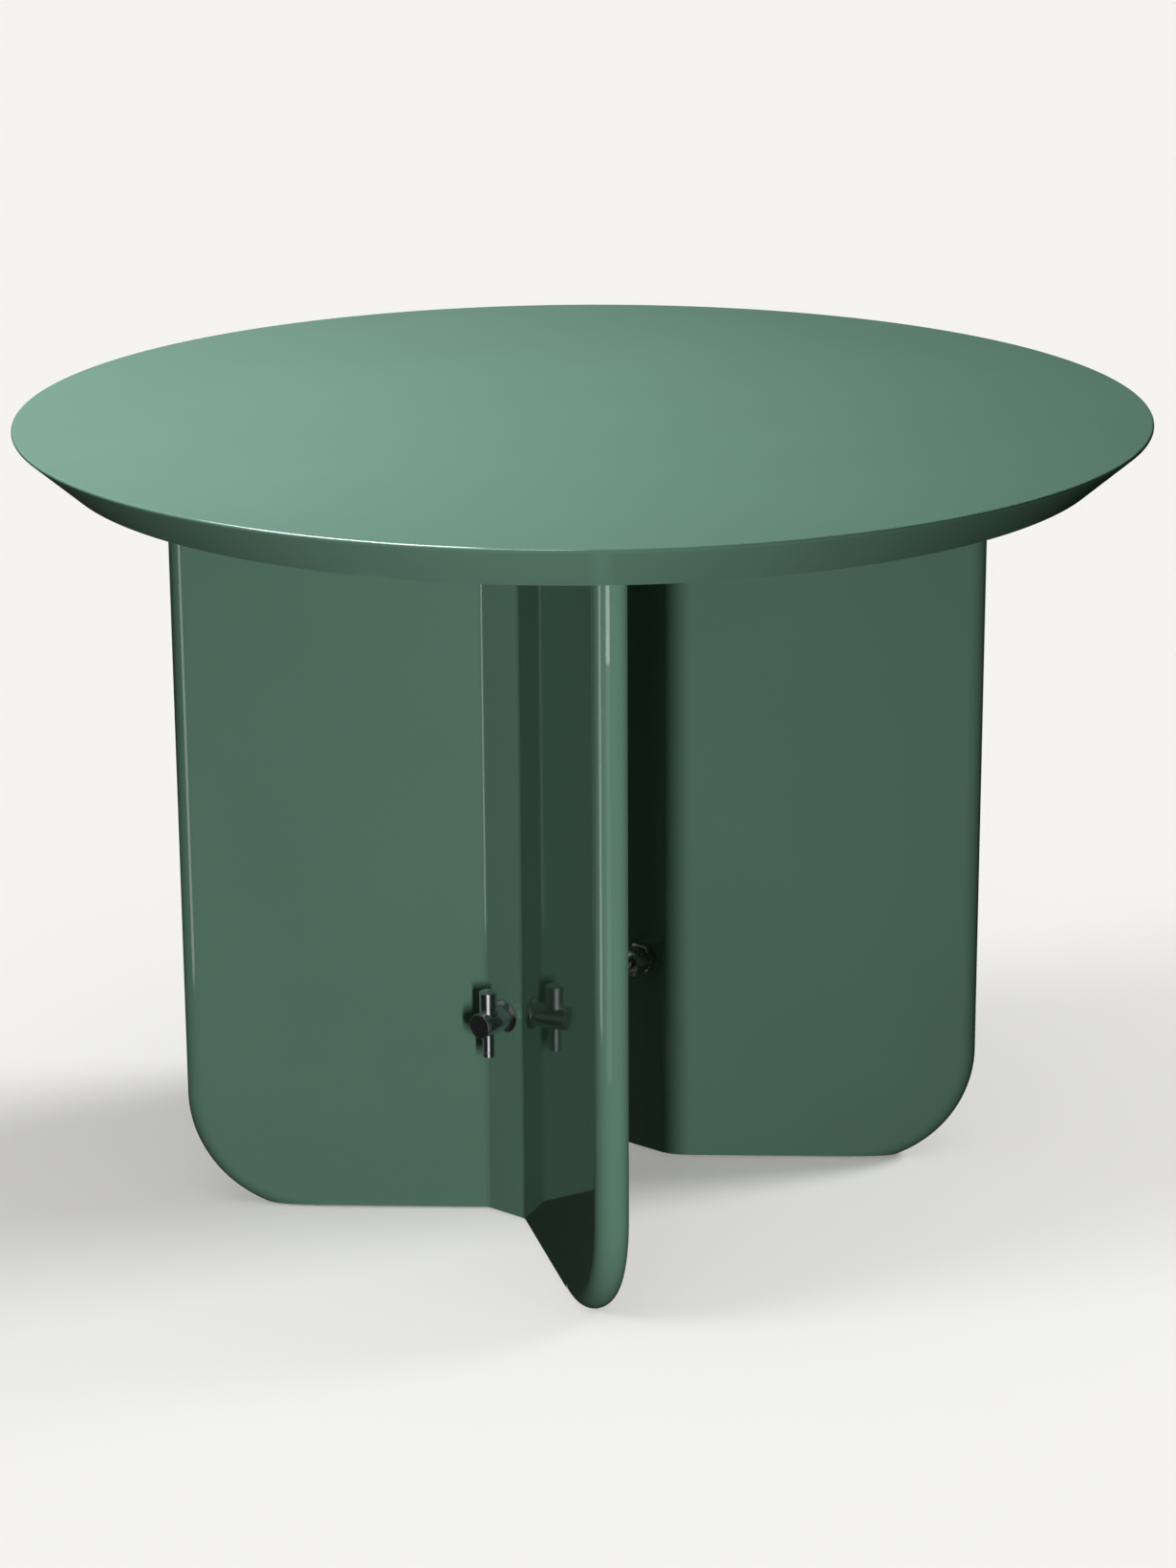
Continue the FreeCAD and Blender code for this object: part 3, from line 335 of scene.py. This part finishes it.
def hex_nut(centre, axis, corner, start, finish, bores):
    """Hexagon nut from start to finish along an axis, with chamfered faces and rounded corners.

    bores lists the (radius, distance) steps of its hole, from start to finish.
    """
    flat = corner * math.cos(math.pi / 6)
    face = flat * NUT_FACE_SHARE
    land = corner * NUT_LAND_SHARE
    half = (finish - start) / 2
    waist = (finish + start) / 2

    def carve(radius, along, angle):
        if radius <= face:
            return radius, along
        turn = angle % (math.pi / 3) - math.pi / 6
        edge = min(flat / math.cos(turn), land)
        drop = (edge - face) * math.tan(math.pi / 6)
        return edge, waist + math.copysign(half - drop, along - waist)

    outline = [*bores, (face, finish), (corner, finish), (corner, start), (face, start)]
    return lathe(outline, centre, axis, carve=carve)


# ---------------------------------------------------------------- round top
def make_top_shell():
    """Sheet pan with a flat top, a small rounded edge and a bevelled rim that ends in a lip."""
    low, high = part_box("top_skin")
    radius = high.x
    rim = 2.0 * MM
    bevel = math.radians(40.9)
    sheet = 2.0 * MM
    rim_steps = 16
    inner_ring = radius * 0.5
    outer_ring = radius - rim * 2
    centre = Vector((radius - rim, high.z - rim))
    slope = 1 / math.tan(bevel)
    edge = [
        (centre.x + rim * math.sin(turn), centre.y + rim * math.cos(turn))
        for turn in arc(0.0, math.pi - bevel, rim_steps)
    ]
    foot = edge[-1]
    inner_foot = (centre.x - (centre.y - low.z) * slope, low.z)
    outline = [(0.0, high.z), (inner_ring, high.z), (outer_ring, high.z)]
    outline += edge
    outline += [
        (foot[0] - (foot[1] - low.z) * slope, low.z),
        inner_foot,
        (centre.x - rim, high.z - sheet),
        (0.0, high.z - sheet),
    ]
    new_piece("top_shell", lathe(outline, (0, 0, 0), segments=360), "green_lacquer", ["top_skin"])


# ---------------------------------------------------------------- bent legs
def on_wing(along, depth, hand, height):
    """Point of a front-leg wing: along it from the crook's corner, depth in from its hollow face."""
    x = STRIP_HALF + along * math.sin(WING_ANGLE) + depth * math.cos(WING_ANGLE)
    y = STRIP_Y + depth * math.sin(WING_ANGLE) - along * math.cos(WING_ANGLE)
    return Vector((x * hand, y, height))


def bent_path(depth, height):
    """Points at one depth across the strip, from one wing's corner start to the other's."""
    radius = BEND_RADIUS + depth
    hub = on_wing(BEND_RUN, -BEND_RADIUS, 1, height)
    half = [on_wing(CORNER_START, depth, 1, height)]
    for turn in arc(0.0, math.pi / 2 - WING_ANGLE, BEND_STEPS):
        heading = WING_ANGLE + turn
        half.append(hub + Vector((math.cos(heading), math.sin(heading), 0)) * radius)
    other = [Vector((-point.x, point.y, point.z)) for point in reversed(half)]
    return half + other


def add_leg_surface(shape, inset, high):
    """One skin of a leg, inset from its outside: faces, bullnoses and rounded lower corners."""
    core = LEG_THICKNESS / 2
    nose = core - inset
    heights = (0.0, CORNER_HEIGHT, high)
    for depth in (inset, LEG_THICKNESS - inset):
        add_grid(shape, [bent_path(depth, height) for height in heights])
    turns = arc(0.0, math.pi, NOSE_STEPS)
    falls = arc(0.0, math.pi / 2, CORNER_STEPS)
    for hand in (1, -1):
        for depth in (inset, LEG_THICKNESS - inset):
            add_grid(shape, [
                [on_wing(along, depth, hand, height) for along in (CORNER_START, WING_LENGTH)]
                for height in heights[1:]
            ])
            add_grid(shape, [
                [on_wing(CORNER_START + reach * math.cos(fall), depth, hand,
                         CORNER_HEIGHT - reach * math.sin(fall)) for reach in (0.0, CORNER_RADIUS)]
                for fall in falls
            ])
        add_grid(shape, [
            [on_wing(WING_LENGTH + nose * math.sin(turn), core - nose * math.cos(turn), hand, height)
             for turn in turns]
            for height in heights[1:]
        ])
        add_grid(shape, [
            [on_wing(CORNER_START + (CORNER_RADIUS + nose * math.sin(turn)) * math.cos(fall),
                     core - nose * math.cos(turn), hand,
                     CORNER_HEIGHT - (CORNER_RADIUS + nose * math.sin(turn)) * math.sin(fall))
             for turn in turns]
            for fall in falls
        ])


def make_leg_shell(side, turn):
    """Hollow bent leg with full bullnose edges; its ends show the thickness of its sheet."""
    low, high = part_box(f"{side}_leg_face_panel")
    shape = bmesh.new()
    for inset in (0.0, SHEET):
        add_leg_surface(shape, inset, high.z)
    bmesh.ops.remove_doubles(shape, verts=shape.verts, dist=MERGE)
    cut = bmesh.ops.bisect_plane(
        shape, geom=[*shape.verts, *shape.edges, *shape.faces], dist=FINE_MERGE,
        plane_co=(0, 0, low.z), plane_no=(0, 0, 1), clear_inner=True,
    )
    foot = [item for item in cut["geom_cut"] if isinstance(item, bmesh.types.BMEdge)]
    bmesh.ops.triangle_fill(shape, edges=foot, use_beauty=True)
    rim = [edge for edge in shape.edges if edge.is_boundary and
           all(abs(vertex.co.z - high.z) < MERGE for vertex in edge.verts)]
    bmesh.ops.triangle_fill(shape, edges=rim, use_beauty=True)
    replaced = [f"{side}_leg_face_panel", f"{side}_leg_back_panel"]
    new_piece(f"{side}_leg_shell", shape, "green_lacquer", replaced, turn=turn)


# ---------------------------------------------------------------- taps
def make_knob(side, turn):
    """Push knob: a cup with a softly domed crown, riding on its joint."""
    node = f"{side}_tap_knob"
    low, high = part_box("front_tap_knob")
    radius = half_size(node).x
    wall = 1.7 * MM
    roof = high.z - 3.0 * MM
    crown = high.z - 0.25 * MM
    shoulder_fall = 0.5 * MM
    shoulder_run = 0.9 * MM
    edge_round = 0.7 * MM
    outline = softened([
        (0.0, roof), (radius - wall, roof), (radius - wall, low.z), (radius, low.z),
        (radius, crown - shoulder_fall), (radius - shoulder_run, crown), (0.0, high.z),
    ], edge_round)
    centre = middle("front_tap_knob")
    centre.z = 0
    shape = lathe(outline, centre)
    new_piece(f"{side}_tap_knob_cap", shape, "tap_chrome", [node], f"{side}_push", turn=turn)


def make_end_cap(side, turn):
    """Flat disc with a fine rounded edge that closes the barrel."""
    node = f"{side}_tap_end_plug"
    low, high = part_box("front_tap_end_plug")
    radius = half_size(node).x
    back = low.y + 3.0 * MM
    spigot = 2.6 * MM
    edge_round = 0.6 * MM
    outline = softened([
        (0.0, low.y), (radius, low.y), (radius, back), (spigot, back), (spigot, high.y), (0.0, high.y),
    ], edge_round, steps=5)
    centre = middle("front_tap_end_plug")
    centre.y = 0
    new_piece(f"{side}_tap_end_cap", lathe(outline, centre, "Y"), "tap_chrome", [node], turn=turn)


def make_wall_cover(side, turn):
    """Dished rosette behind the barrel."""
    node = f"{side}_tap_rosette"
    low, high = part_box("front_tap_rosette")
    radius = half_size(node).x
    lip = 1.0 * MM
    dish_run = 1.5 * MM
    dish_rise = 0.6 * MM
    edge_round = 0.5 * MM
    outline = softened([
        (SHANK_RADIUS, high.y), (radius, high.y), (radius, high.y - lip),
        (BARREL_RADIUS + dish_run, low.y + dish_rise), (BARREL_RADIUS, low.y), (SHANK_RADIUS, low.y),
    ], edge_round)
    centre = middle("front_tap_rosette")
    centre.y = 0
    new_piece(f"{side}_tap_wall_cover", lathe(outline, centre, "Y"), "tap_chrome", [node], turn=turn)


def make_spout(side, turn):
    """Short tube with a rolled lip and a fine joint line above it."""
    node = f"{side}_tap_nozzle"
    low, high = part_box("front_tap_nozzle")
    radius = half_size(node).x
    inner = 4.2 * MM
    joint = low.z + 5.0 * MM
    groove = 0.25 * MM
    edge_round = 0.5 * MM
    outline = softened([
        (inner, low.z), (radius, low.z), (radius, joint - groove), (radius - groove, joint),
        (radius, joint + groove), (radius, high.z), (inner, high.z),
    ], edge_round)
    centre = middle("front_tap_nozzle")
    centre.z = 0
    new_piece(f"{side}_tap_spout", lathe(outline, centre), "tap_chrome", [node], turn=turn)


def make_spring(side, turn):
    """Return spring with closed end coils, at the length that it has when the knob is pressed."""
    node = f"{side}_tap_spring"
    low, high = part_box("front_tap_spring")
    wire = 0.5 * MM
    pressed = 4.1 * MM
    radius = half_size(node).x - wire
    start, finish = low.z + wire, high.z - pressed - wire
    coils = 6
    steps_per_coil = 36
    wire_steps = 12
    steps = coils * steps_per_coil
    closed_rise = 2 * wire / steps_per_coil
    open_rise = (finish - start - 4 * wire) / (steps - 2 * steps_per_coil)
    axis = middle("front_tap_spring")
    shape = bmesh.new()
    rows = []
    height = start
    for step in range(steps + 1):
        angle = 2 * math.pi * step / steps_per_coil
        closed = step < steps_per_coil or step > steps - steps_per_coil
        outward = Vector((math.cos(angle), math.sin(angle), 0))
        spot = Vector((axis.x, axis.y, height)) + outward * radius
        rows.append([
            spot + (outward * math.cos(turn_by) + Vector((0, 0, math.sin(turn_by)))) * wire
            for turn_by in arc(0.0, 2 * math.pi, wire_steps)
        ])
        height += closed_rise if closed else open_rise
    add_grid(shape, rows)
    bmesh.ops.remove_doubles(shape, verts=shape.verts, dist=FINE_MERGE)
    bmesh.ops.holes_fill(shape, edges=[edge for edge in shape.edges if edge.is_boundary], sides=0)
    new_piece(f"{side}_tap_return_spring", shape, "spring_steel", [node], sharp=50.0, turn=turn)


def make_tap_nuts(side, turn):
    """Back nut against the leg, and the union nut that joins the shank to the cross pipe."""
    pipe = half_size("front_cross_pipe").x
    for label, node in (("back_nut", "tap_backnut"), ("union_nut", "tap_connector")):
        low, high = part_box(f"front_{node}")
        centre = middle(f"front_{node}")
        centre.y = 0
        corner = half_size(f"front_{node}").x
        bores = [(SHANK_RADIUS, low.y), (SHANK_RADIUS, high.y)]
        if node == "tap_connector":
            step = low.y + UNION_THREAD
            bores = [(SHANK_RADIUS, low.y), (SHANK_RADIUS, step), (pipe, step), (pipe, high.y)]
        shape = hex_nut(centre, "Y", corner, low.y, high.y, bores)
        replaced = [f"{side}_{node}"]
        new_piece(f"{side}_{label}", shape, "nickel_brass", replaced, sharp=NUT_SHARP, turn=turn)


def make_thread(side, turn):
    """Turns of thread that show on the shank between the back nut and the union nut."""
    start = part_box("front_tap_backnut")[1].y
    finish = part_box("front_tap_connector")[0].y
    depth = 0.35 * MM
    pitch = (finish - start) / 2
    steps = 24
    centre = middle("front_tap_backnut")
    centre.y = 0
    root = SHANK_RADIUS - 2 * depth

    def carve(radius, along, angle):
        if radius <= root:
            return radius, along
        wave = math.cos(2 * math.pi * along / pitch - angle)
        return SHANK_RADIUS - depth * (1 - wave) / 2, along

    outline = [(SHANK_RADIUS, along) for along in arc(start, finish, steps)]
    outline += [(root, finish), (root, start)]
    shape = lathe(outline, centre, "Y", carve=carve)
    new_piece(f"{side}_shank_thread", shape, "nickel_brass", turn=turn)


# ---------------------------------------------------------------- supply line
def pipe_nut(corner, centre, axis, start, away):
    """Nut that starts over a fitting's socket and closes on its pipe; away is its way along the axis."""
    finish = start + PIPE_NUT_LENGTH * away
    mouth = start + PIPE_NUT_COVER * away
    bores = [
        (FITTING_RADIUS, start), (FITTING_RADIUS, mouth),
        (PIPE_RADIUS, mouth), (PIPE_RADIUS, finish),
    ]
    if away < 0:
        bores.reverse()
    return hex_nut(centre, axis, corner, min(start, finish), max(start, finish), bores)


def make_pipe_nuts():
    """Nuts of one size on the stop valve's two ends and the tee's three."""
    corner = half_size("stop_valve_nuts").x
    low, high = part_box("stop_valve_nuts")
    valve_nuts = [
        pipe_nut(corner, (0, 0, 0), "Z", low.z + PIPE_NUT_LENGTH, -1),
        pipe_nut(corner, (0, 0, 0), "Z", high.z - PIPE_NUT_LENGTH, 1),
    ]
    valve_shape = join_shapes(valve_nuts)
    new_piece("valve_pipe_nuts", valve_shape, "nickel_brass", ["stop_valve_nuts"], sharp=NUT_SHARP)
    tap_low, tap_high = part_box("front_tap_body")
    axis_height = (tap_low.z + tap_high.z) / 2
    low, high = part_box("tee_nuts")
    tee_nuts = [
        pipe_nut(corner, (0, 0, 0), "Z", low.z + PIPE_NUT_LENGTH, -1),
        pipe_nut(corner, (0, 0, axis_height), "Y", low.y + PIPE_NUT_LENGTH, -1),
        pipe_nut(corner, (0, 0, axis_height), "Y", high.y - PIPE_NUT_LENGTH, 1),
    ]
    new_piece("tee_pipe_nuts", join_shapes(tee_nuts), "nickel_brass", ["tee_nuts"], sharp=NUT_SHARP)


def slab(profile, near, far, soft):
    """Closed (y, z) profile as a slab along X whose outer edges are broken by soft."""
    centre = sum((Vector(point) for point in profile), Vector((0, 0))) / len(profile)
    shape = bmesh.new()
    rows = []
    for x, inset in ((near, soft), (near + soft, 0.0), (far - soft, 0.0), (far, soft)):
        row = []
        for point in [*profile, profile[0]]:
            spot = Vector(point)
            spot += (centre - spot).normalized() * inset
            row.append(Vector((x, spot.x, spot.y)))
        rows.append(row)
    add_grid(shape, rows)
    bmesh.ops.remove_doubles(shape, verts=shape.verts, dist=FINE_MERGE)
    rims = [edge for edge in shape.edges if edge.is_boundary]
    bmesh.ops.holes_fill(shape, edges=rims, sides=0)
    return shape


def capsule(half_width, bottom, top, steps=16):
    """Upright (y, z) outline with round ends about the heights bottom and top."""
    points = [(half_width * math.cos(turn), top + half_width * math.sin(turn))
              for turn in arc(0.0, math.pi, steps)]
    points += [(half_width * math.cos(turn), bottom + half_width * math.sin(turn))
               for turn in arc(math.pi, 2 * math.pi, steps)]
    return points


def make_lever():
    """Stop valve lever: a steel blade with a moulded sleeve on its grip, and its nut."""
    low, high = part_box("stop_valve_lever")
    half = half_size("stop_valve_lever").y
    axis_height = low.z + half
    top = high.z - half
    hub_round = 0.4 * MM
    hub = lathe(
        softened([(SPINDLE_RADIUS, low.x), (half, low.x), (half, high.x), (SPINDLE_RADIUS, high.x)],
                 hub_round),
        (0, 0, axis_height), "X",
    )
    blade_near = low.x + 0.8 * MM
    blade_far = low.x + 2.2 * MM
    blade_half = half - 1.2 * MM
    blade_start = axis_height + 8.0 * MM
    blade_soft = 0.3 * MM
    blade = slab(capsule(blade_half, blade_start, top), blade_near, blade_far, blade_soft)
    shape = join_shapes([hub, blade])
    new_piece("lever_blade", shape, "bare_steel", ["stop_valve_lever"], "stop_lever")
    sleeve_start = axis_height + 13.0 * MM
    sleeve_soft = 0.9 * MM
    sleeve = slab(capsule(half, sleeve_start + half, top), low.x, high.x, sleeve_soft)
    new_piece("lever_sleeve", sleeve, "lever_blue", [], "stop_lever", sharp=50.0)

    low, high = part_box("stop_valve_lever_nut")
    corner = half_size("stop_valve_lever_nut").z
    bores = [(SPINDLE_RADIUS, low.x), (SPINDLE_RADIUS, high.x)]
    nut = hex_nut((0, 0, axis_height), "X", corner, low.x, high.x, bores)
    new_piece("lever_nut", nut, "spring_steel", ["stop_valve_lever_nut"], "stop_lever", sharp=NUT_SHARP)


def make_hub_welds():
    """Rippled fillet welds where the hub plate meets the backs of the legs."""
    plate_low, plate_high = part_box("hub_plate")
    reach = 26.0 * MM
    size = 3.0 * MM
    ripple = 0.3 * MM
    pitch = 2.2 * MM
    end_share = 0.15
    length_steps = 96
    round_steps = 8
    shapes = []
    for hand in (1, -1):
        shape = bmesh.new()
        rows = []
        for along in arc(-reach, reach, length_steps):
            taper = min(1.0, (reach - abs(along)) / size + end_share)
            bead = (size - ripple * (1 + math.cos(2 * math.pi * along / pitch)) / 2) * taper
            row = [Vector((along, hand * plate_high.y, plate_low.z))]
            for turn in arc(0.0, math.pi / 2, round_steps):
                across = hand * (plate_high.y - bead * math.sin(turn))
                row.append(Vector((along, across, plate_low.z - bead * math.cos(turn))))
            row.append(row[0])
            rows.append(row)
        add_grid(shape, rows)
        shapes.append(shape)
    new_piece("hub_welds", join_shapes(shapes), "bare_steel")


# ---------------------------------------------------------------- floor, light and camera
def make_floor():
    """Pale floor that carries the object's soft shadows and can be seen through from below."""
    half = 30.0
    tone_scale = 3.0
    dark_tone = (0.800, 0.791, 0.777, 1)
    light_tone = (0.806, 0.797, 0.783, 1)
    shape = bmesh.new()
    add_grid(shape, [[(x, y, 0) for x in (-half, half)] for y in (-half, half)])
    mesh = bpy.data.meshes.new("floor")
    shape.to_mesh(mesh)
    shape.free()
    material = bpy.data.materials.new("pale_floor")
    material.use_nodes = True
    tree = material.node_tree
    shader = tree.nodes["Principled BSDF"]
    shader.inputs["Roughness"].default_value = 0.9
    shader.inputs["Specular IOR Level"].default_value = 0.0
    place = add_node(tree, "ShaderNodeTexCoord")
    mix = add_node(tree, "ShaderNodeMix", data_type="RGBA")
    mix.inputs["A"].default_value = dark_tone
    mix.inputs["B"].default_value = light_tone
    tree.links.new(noise(tree, place, tone_scale), mix.inputs["Factor"])
    tree.links.new(mix.outputs["Result"], shader.inputs["Base Color"])
    facing = add_node(tree, "ShaderNodeNewGeometry")
    clear = add_node(tree, "ShaderNodeBsdfTransparent")
    one_sided = add_node(tree, "ShaderNodeMixShader")
    tree.links.new(facing.outputs["Backfacing"], one_sided.inputs["Fac"])
    tree.links.new(shader.outputs["BSDF"], one_sided.inputs[1])
    tree.links.new(clear.outputs["BSDF"], one_sided.inputs[2])
    tree.links.new(one_sided.outputs["Shader"], tree.nodes["Material Output"].inputs["Surface"])
    mesh.materials.append(material)
    floor = bpy.data.objects.new("floor", mesh)
    bpy.context.scene.collection.objects.link(floor)
    floor.visible_diffuse = False
    floor.visible_glossy = False
    floor.visible_shadow = False
    return floor


def light_group(name, members, state):
    """Set of objects that a light reaches (INCLUDE) or leaves out (EXCLUDE)."""
    group = bpy.data.collections.new(name)
    for member in dict.fromkeys(members):
        group.objects.link(member)
    for entry in group.collection_objects:
        entry.light_linking.link_state = state
    return group


def add_light(name, kind, place, target, group, strength, diffuse=True, glossy=True, blockers=None,
              **values):
    """Light at place that faces target; group says what it reaches, blockers what shades it."""
    data = bpy.data.lights.new(name, kind)
    data.energy = strength
    for key, value in values.items():
        setattr(data, key, value)
    lamp = bpy.data.objects.new(name, data)
    bpy.context.scene.collection.objects.link(lamp)
    lamp.location = place
    lamp.rotation_euler = (target - place).to_track_quat("-Z", "Y").to_euler()
    lamp.light_linking.receiver_collection = group
    if blockers:
        lamp.light_linking.blocker_collection = blockers
    lamp.visible_camera = False
    lamp.visible_diffuse = diffuse
    lamp.visible_glossy = glossy


def add_sun(name, place, group, strength, **values):
    """Sun that shines from the direction of place."""
    add_light(name, "SUN", place, Vector(), group, strength, **values)


def add_softbox(name, place, target, group, watts, size, **values):
    """Rectangular light of size (width, height) metres."""
    width, height = size
    add_light(name, "AREA", place, target, group, watts, shape="RECTANGLE", size=width, size_y=height,
              **values)


def light_floor(floor):
    """Floor light: even fill, a wide sky, and low suns whose soft shadows fall left and right."""
    group = light_group("lit_floor", [floor], "INCLUDE")
    shells = [bpy.data.objects[f"{side}_leg_shell"] for side in ("front", "rear")]
    legs = light_group("leg_blockers", shells, "INCLUDE")
    rear = light_group("rear_blocker", [bpy.data.objects["rear_leg_shell"]], "INCLUDE")
    right = studio(0.45, -0.13, 0.30)
    add_sun("floor_sun_right", right, group, strength=1.74, blockers=rear, angle=math.radians(16))
    add_sun("floor_sun_right_low", right, group, strength=0.50, blockers=legs, angle=math.radians(20))
    add_sun("floor_sun_left", studio(-0.45, 0.18, 0.30), group, strength=0.95, blockers=legs,
            angle=math.radians(24))
    add_sun("floor_sky", studio(0.0, 0.3, 1.0), group, strength=0.66, blockers=legs,
            angle=math.radians(50))
    add_sun("floor_fill", studio(0.0, 0.0, 1.0), group, strength=0.92, use_shadow=False)


def light_object(floor):
    """Softbox above on the left, boxes in front and behind, and strips that only show in gloss."""
    front_leg = [item for item in bpy.data.objects if item.name.startswith("front_leg_")]
    taps = [item for item in bpy.data.objects if "_tap_" in item.name]
    top = [item for item in bpy.data.objects if item.name.startswith("top_")]
    spouts = [item for item in taps if not item.name.endswith("_wall_cover")]
    small_parts = [
        item for item in bpy.data.objects if item.type == "MESH" and item != floor
        and not item.name.endswith(("_shell", "rear_union_nut", "rear_back_nut", "rear_shank_thread"))
        and not item.name.startswith(("underside_", "front_tap_"))
    ]
    pieces = light_group("lit_pieces", [floor], "EXCLUDE")
    upper = light_group("lit_upper", [*top, *taps], "INCLUDE")
    behind = light_group("lit_behind", [floor, *front_leg, *top, *taps], "EXCLUDE")
    leg = light_group("lit_leg", front_leg, "INCLUDE")
    tap = light_group("lit_taps", spouts, "INCLUDE")
    metal = light_group("lit_metal", small_parts, "INCLUDE")

    add_softbox("top_box", studio(-0.75, 0.0, 2.20), studio(-0.1, 0.0, 0.72), pieces,
                watts=82.0, size=(0.9, 0.9), color=(0.995, 1.005, 1.085))
    add_softbox("front_box", studio(-0.10, 1.20, 0.40), studio(0.0, 0.0, 0.42), upper,
                watts=7.2, size=(0.25, 0.4), glossy=False)
    add_softbox("rear_box", studio(-0.07, 1.20, 0.40), studio(0.0, 0.0, 0.42), behind,
                watts=12.0, size=(0.05, 0.4), glossy=False)
    add_softbox("leg_box", studio(0.42, 2.40, 0.60), studio(0.0, 0.0, 0.42), leg,
                watts=52.0, size=(0.10, 0.8), glossy=False)
    add_softbox("edge_strip", studio(-0.02, 0.65, 0.34), studio(0.014, 0.36, 0.44), leg,
                watts=0.11, size=(0.13, 0.40), diffuse=False)
    add_softbox("edge_glint", studio(-0.02, 0.65, 0.56), studio(0.014, 0.36, 0.66), leg,
                watts=0.15, size=(0.12, 0.08), diffuse=False)
    add_softbox("bend_strip", studio(-1.25, 1.06, 0.30), studio(0.0, 0.0, 0.42), leg,
                watts=4.2, size=(0.40, 1.1), diffuse=False)
    add_softbox("rim_strip", studio(-0.46, 1.14, 2.02), studio(-0.08, 0.49, 0.72), upper,
                watts=16.0, size=(1.0, 0.4), diffuse=False)
    add_softbox("tap_strip", studio(-0.10, 1.20, 0.0), studio(-0.09, 0.1, 0.2), tap,
                watts=2.1, size=(0.60, 1.0), diffuse=False)
    for name, right, front in (("right", 1.2, 0.1), ("left", -1.2, -0.3), ("back", 0.1, -1.2)):
        add_softbox(f"metal_strip_{name}", studio(right, front, 0.4), studio(0.0, 0.0, 0.2), metal,
                    watts=9.0, size=(0.70, 1.4), diffuse=False)
    add_softbox("metal_floor_glow", studio(0.0, -0.2, -0.8), Vector(), metal,
                watts=8.0, size=(2.4, 2.4), diffuse=False)
    add_softbox("back_box", studio(-0.30, -1.6, 0.42), studio(0.0, 0.0, 0.35), pieces,
                watts=12.0, size=(0.6, 0.6), glossy=False)


def make_world():
    """Pale backdrop and dim even ambience; in gloss the studio is dark, and lighter up on the left."""
    backdrop_strength = 0.91
    ambience = 0.10
    world = bpy.data.worlds.new("studio")
    world.use_nodes = True
    tree = world.node_tree
    background = tree.nodes["Background"]
    background.inputs["Color"].default_value = (1.0, 0.991, 0.973, 1)
    place = add_node(tree, "ShaderNodeTexCoord")
    across = add_node(tree, "ShaderNodeVectorMath", operation="DOT_PRODUCT")
    across.inputs[1].default_value = studio(-1.0, 0.0, 0.0)
    tree.links.new(place.outputs["Generated"], across.inputs[0])
    side = add_node(tree, "ShaderNodeMapRange", interpolation_type="SMOOTHSTEP")
    side.inputs["From Min"].default_value = -0.16
    side.inputs["From Max"].default_value = 0.20
    tree.links.new(across.outputs["Value"], side.inputs["Value"])
    split = add_node(tree, "ShaderNodeSeparateXYZ")
    tree.links.new(place.outputs["Generated"], split.inputs["Vector"])
    rise = add_node(tree, "ShaderNodeMapRange", interpolation_type="SMOOTHSTEP")
    rise.inputs["From Min"].default_value = -0.15
    rise.inputs["From Max"].default_value = 0.15
    rise.inputs["To Min"].default_value = 0.012
    rise.inputs["To Max"].default_value = 0.16
    tree.links.new(split.outputs["Z"], rise.inputs["Value"])
    glow = add_node(tree, "ShaderNodeMath", operation="MULTIPLY")
    tree.links.new(side.outputs["Result"], glow.inputs[0])
    tree.links.new(rise.outputs["Result"], glow.inputs[1])
    path = add_node(tree, "ShaderNodeLightPath")
    backdrop = add_node(tree, "ShaderNodeMix", data_type="FLOAT")
    backdrop.inputs["B"].default_value = backdrop_strength
    mix = add_node(tree, "ShaderNodeMix", data_type="FLOAT")
    mix.inputs["A"].default_value = ambience
    tree.links.new(path.outputs["Is Glossy Ray"], mix.inputs["Factor"])
    tree.links.new(glow.outputs["Value"], mix.inputs["B"])
    tree.links.new(path.outputs["Is Camera Ray"], backdrop.inputs["Factor"])
    tree.links.new(mix.outputs["Result"], backdrop.inputs["A"])
    tree.links.new(backdrop.outputs["Result"], background.inputs["Strength"])
    bpy.context.scene.world = world


def make_camera():
    """Camera at its distance in front of the object, panned, pitched and rolled to fit."""
    data = bpy.data.cameras.new("camera")
    data.lens = LENS_MM
    data.sensor_width = SENSOR_MM
    data.sensor_fit = "AUTO"
    data.dof.use_dof = False
    camera = bpy.data.objects.new("camera", data)
    bpy.context.scene.collection.objects.link(camera)
    yaw = Matrix.Rotation(math.radians(CAMERA_AZIMUTH - CAMERA_PAN), 4, "Z")
    tilt = Matrix.Rotation(math.radians(90.0 - CAMERA_PITCH), 4, "X")
    roll = Matrix.Rotation(math.radians(-CAMERA_ROLL), 4, "Z")
    place = Matrix.Translation(studio(0.0, CAMERA_DISTANCE, CAMERA_HEIGHT))
    camera.matrix_world = place @ yaw @ tilt @ roll
    bpy.context.scene.camera = camera


dress_cad_nodes()
make_top_shell()
for side in ("front", "rear"):
    turned = side == "rear"
    make_leg_shell(side, turned)
    make_knob(side, turned)
    make_end_cap(side, turned)
    make_wall_cover(side, turned)
    make_spout(side, turned)
    make_spring(side, turned)
    make_tap_nuts(side, turned)
    make_thread(side, turned)
make_pipe_nuts()
make_lever()
make_hub_welds()
floor = make_floor()
light_floor(floor)
light_object(floor)
make_world()
make_camera()
bpy.context.scene.view_settings.view_transform = "Standard"
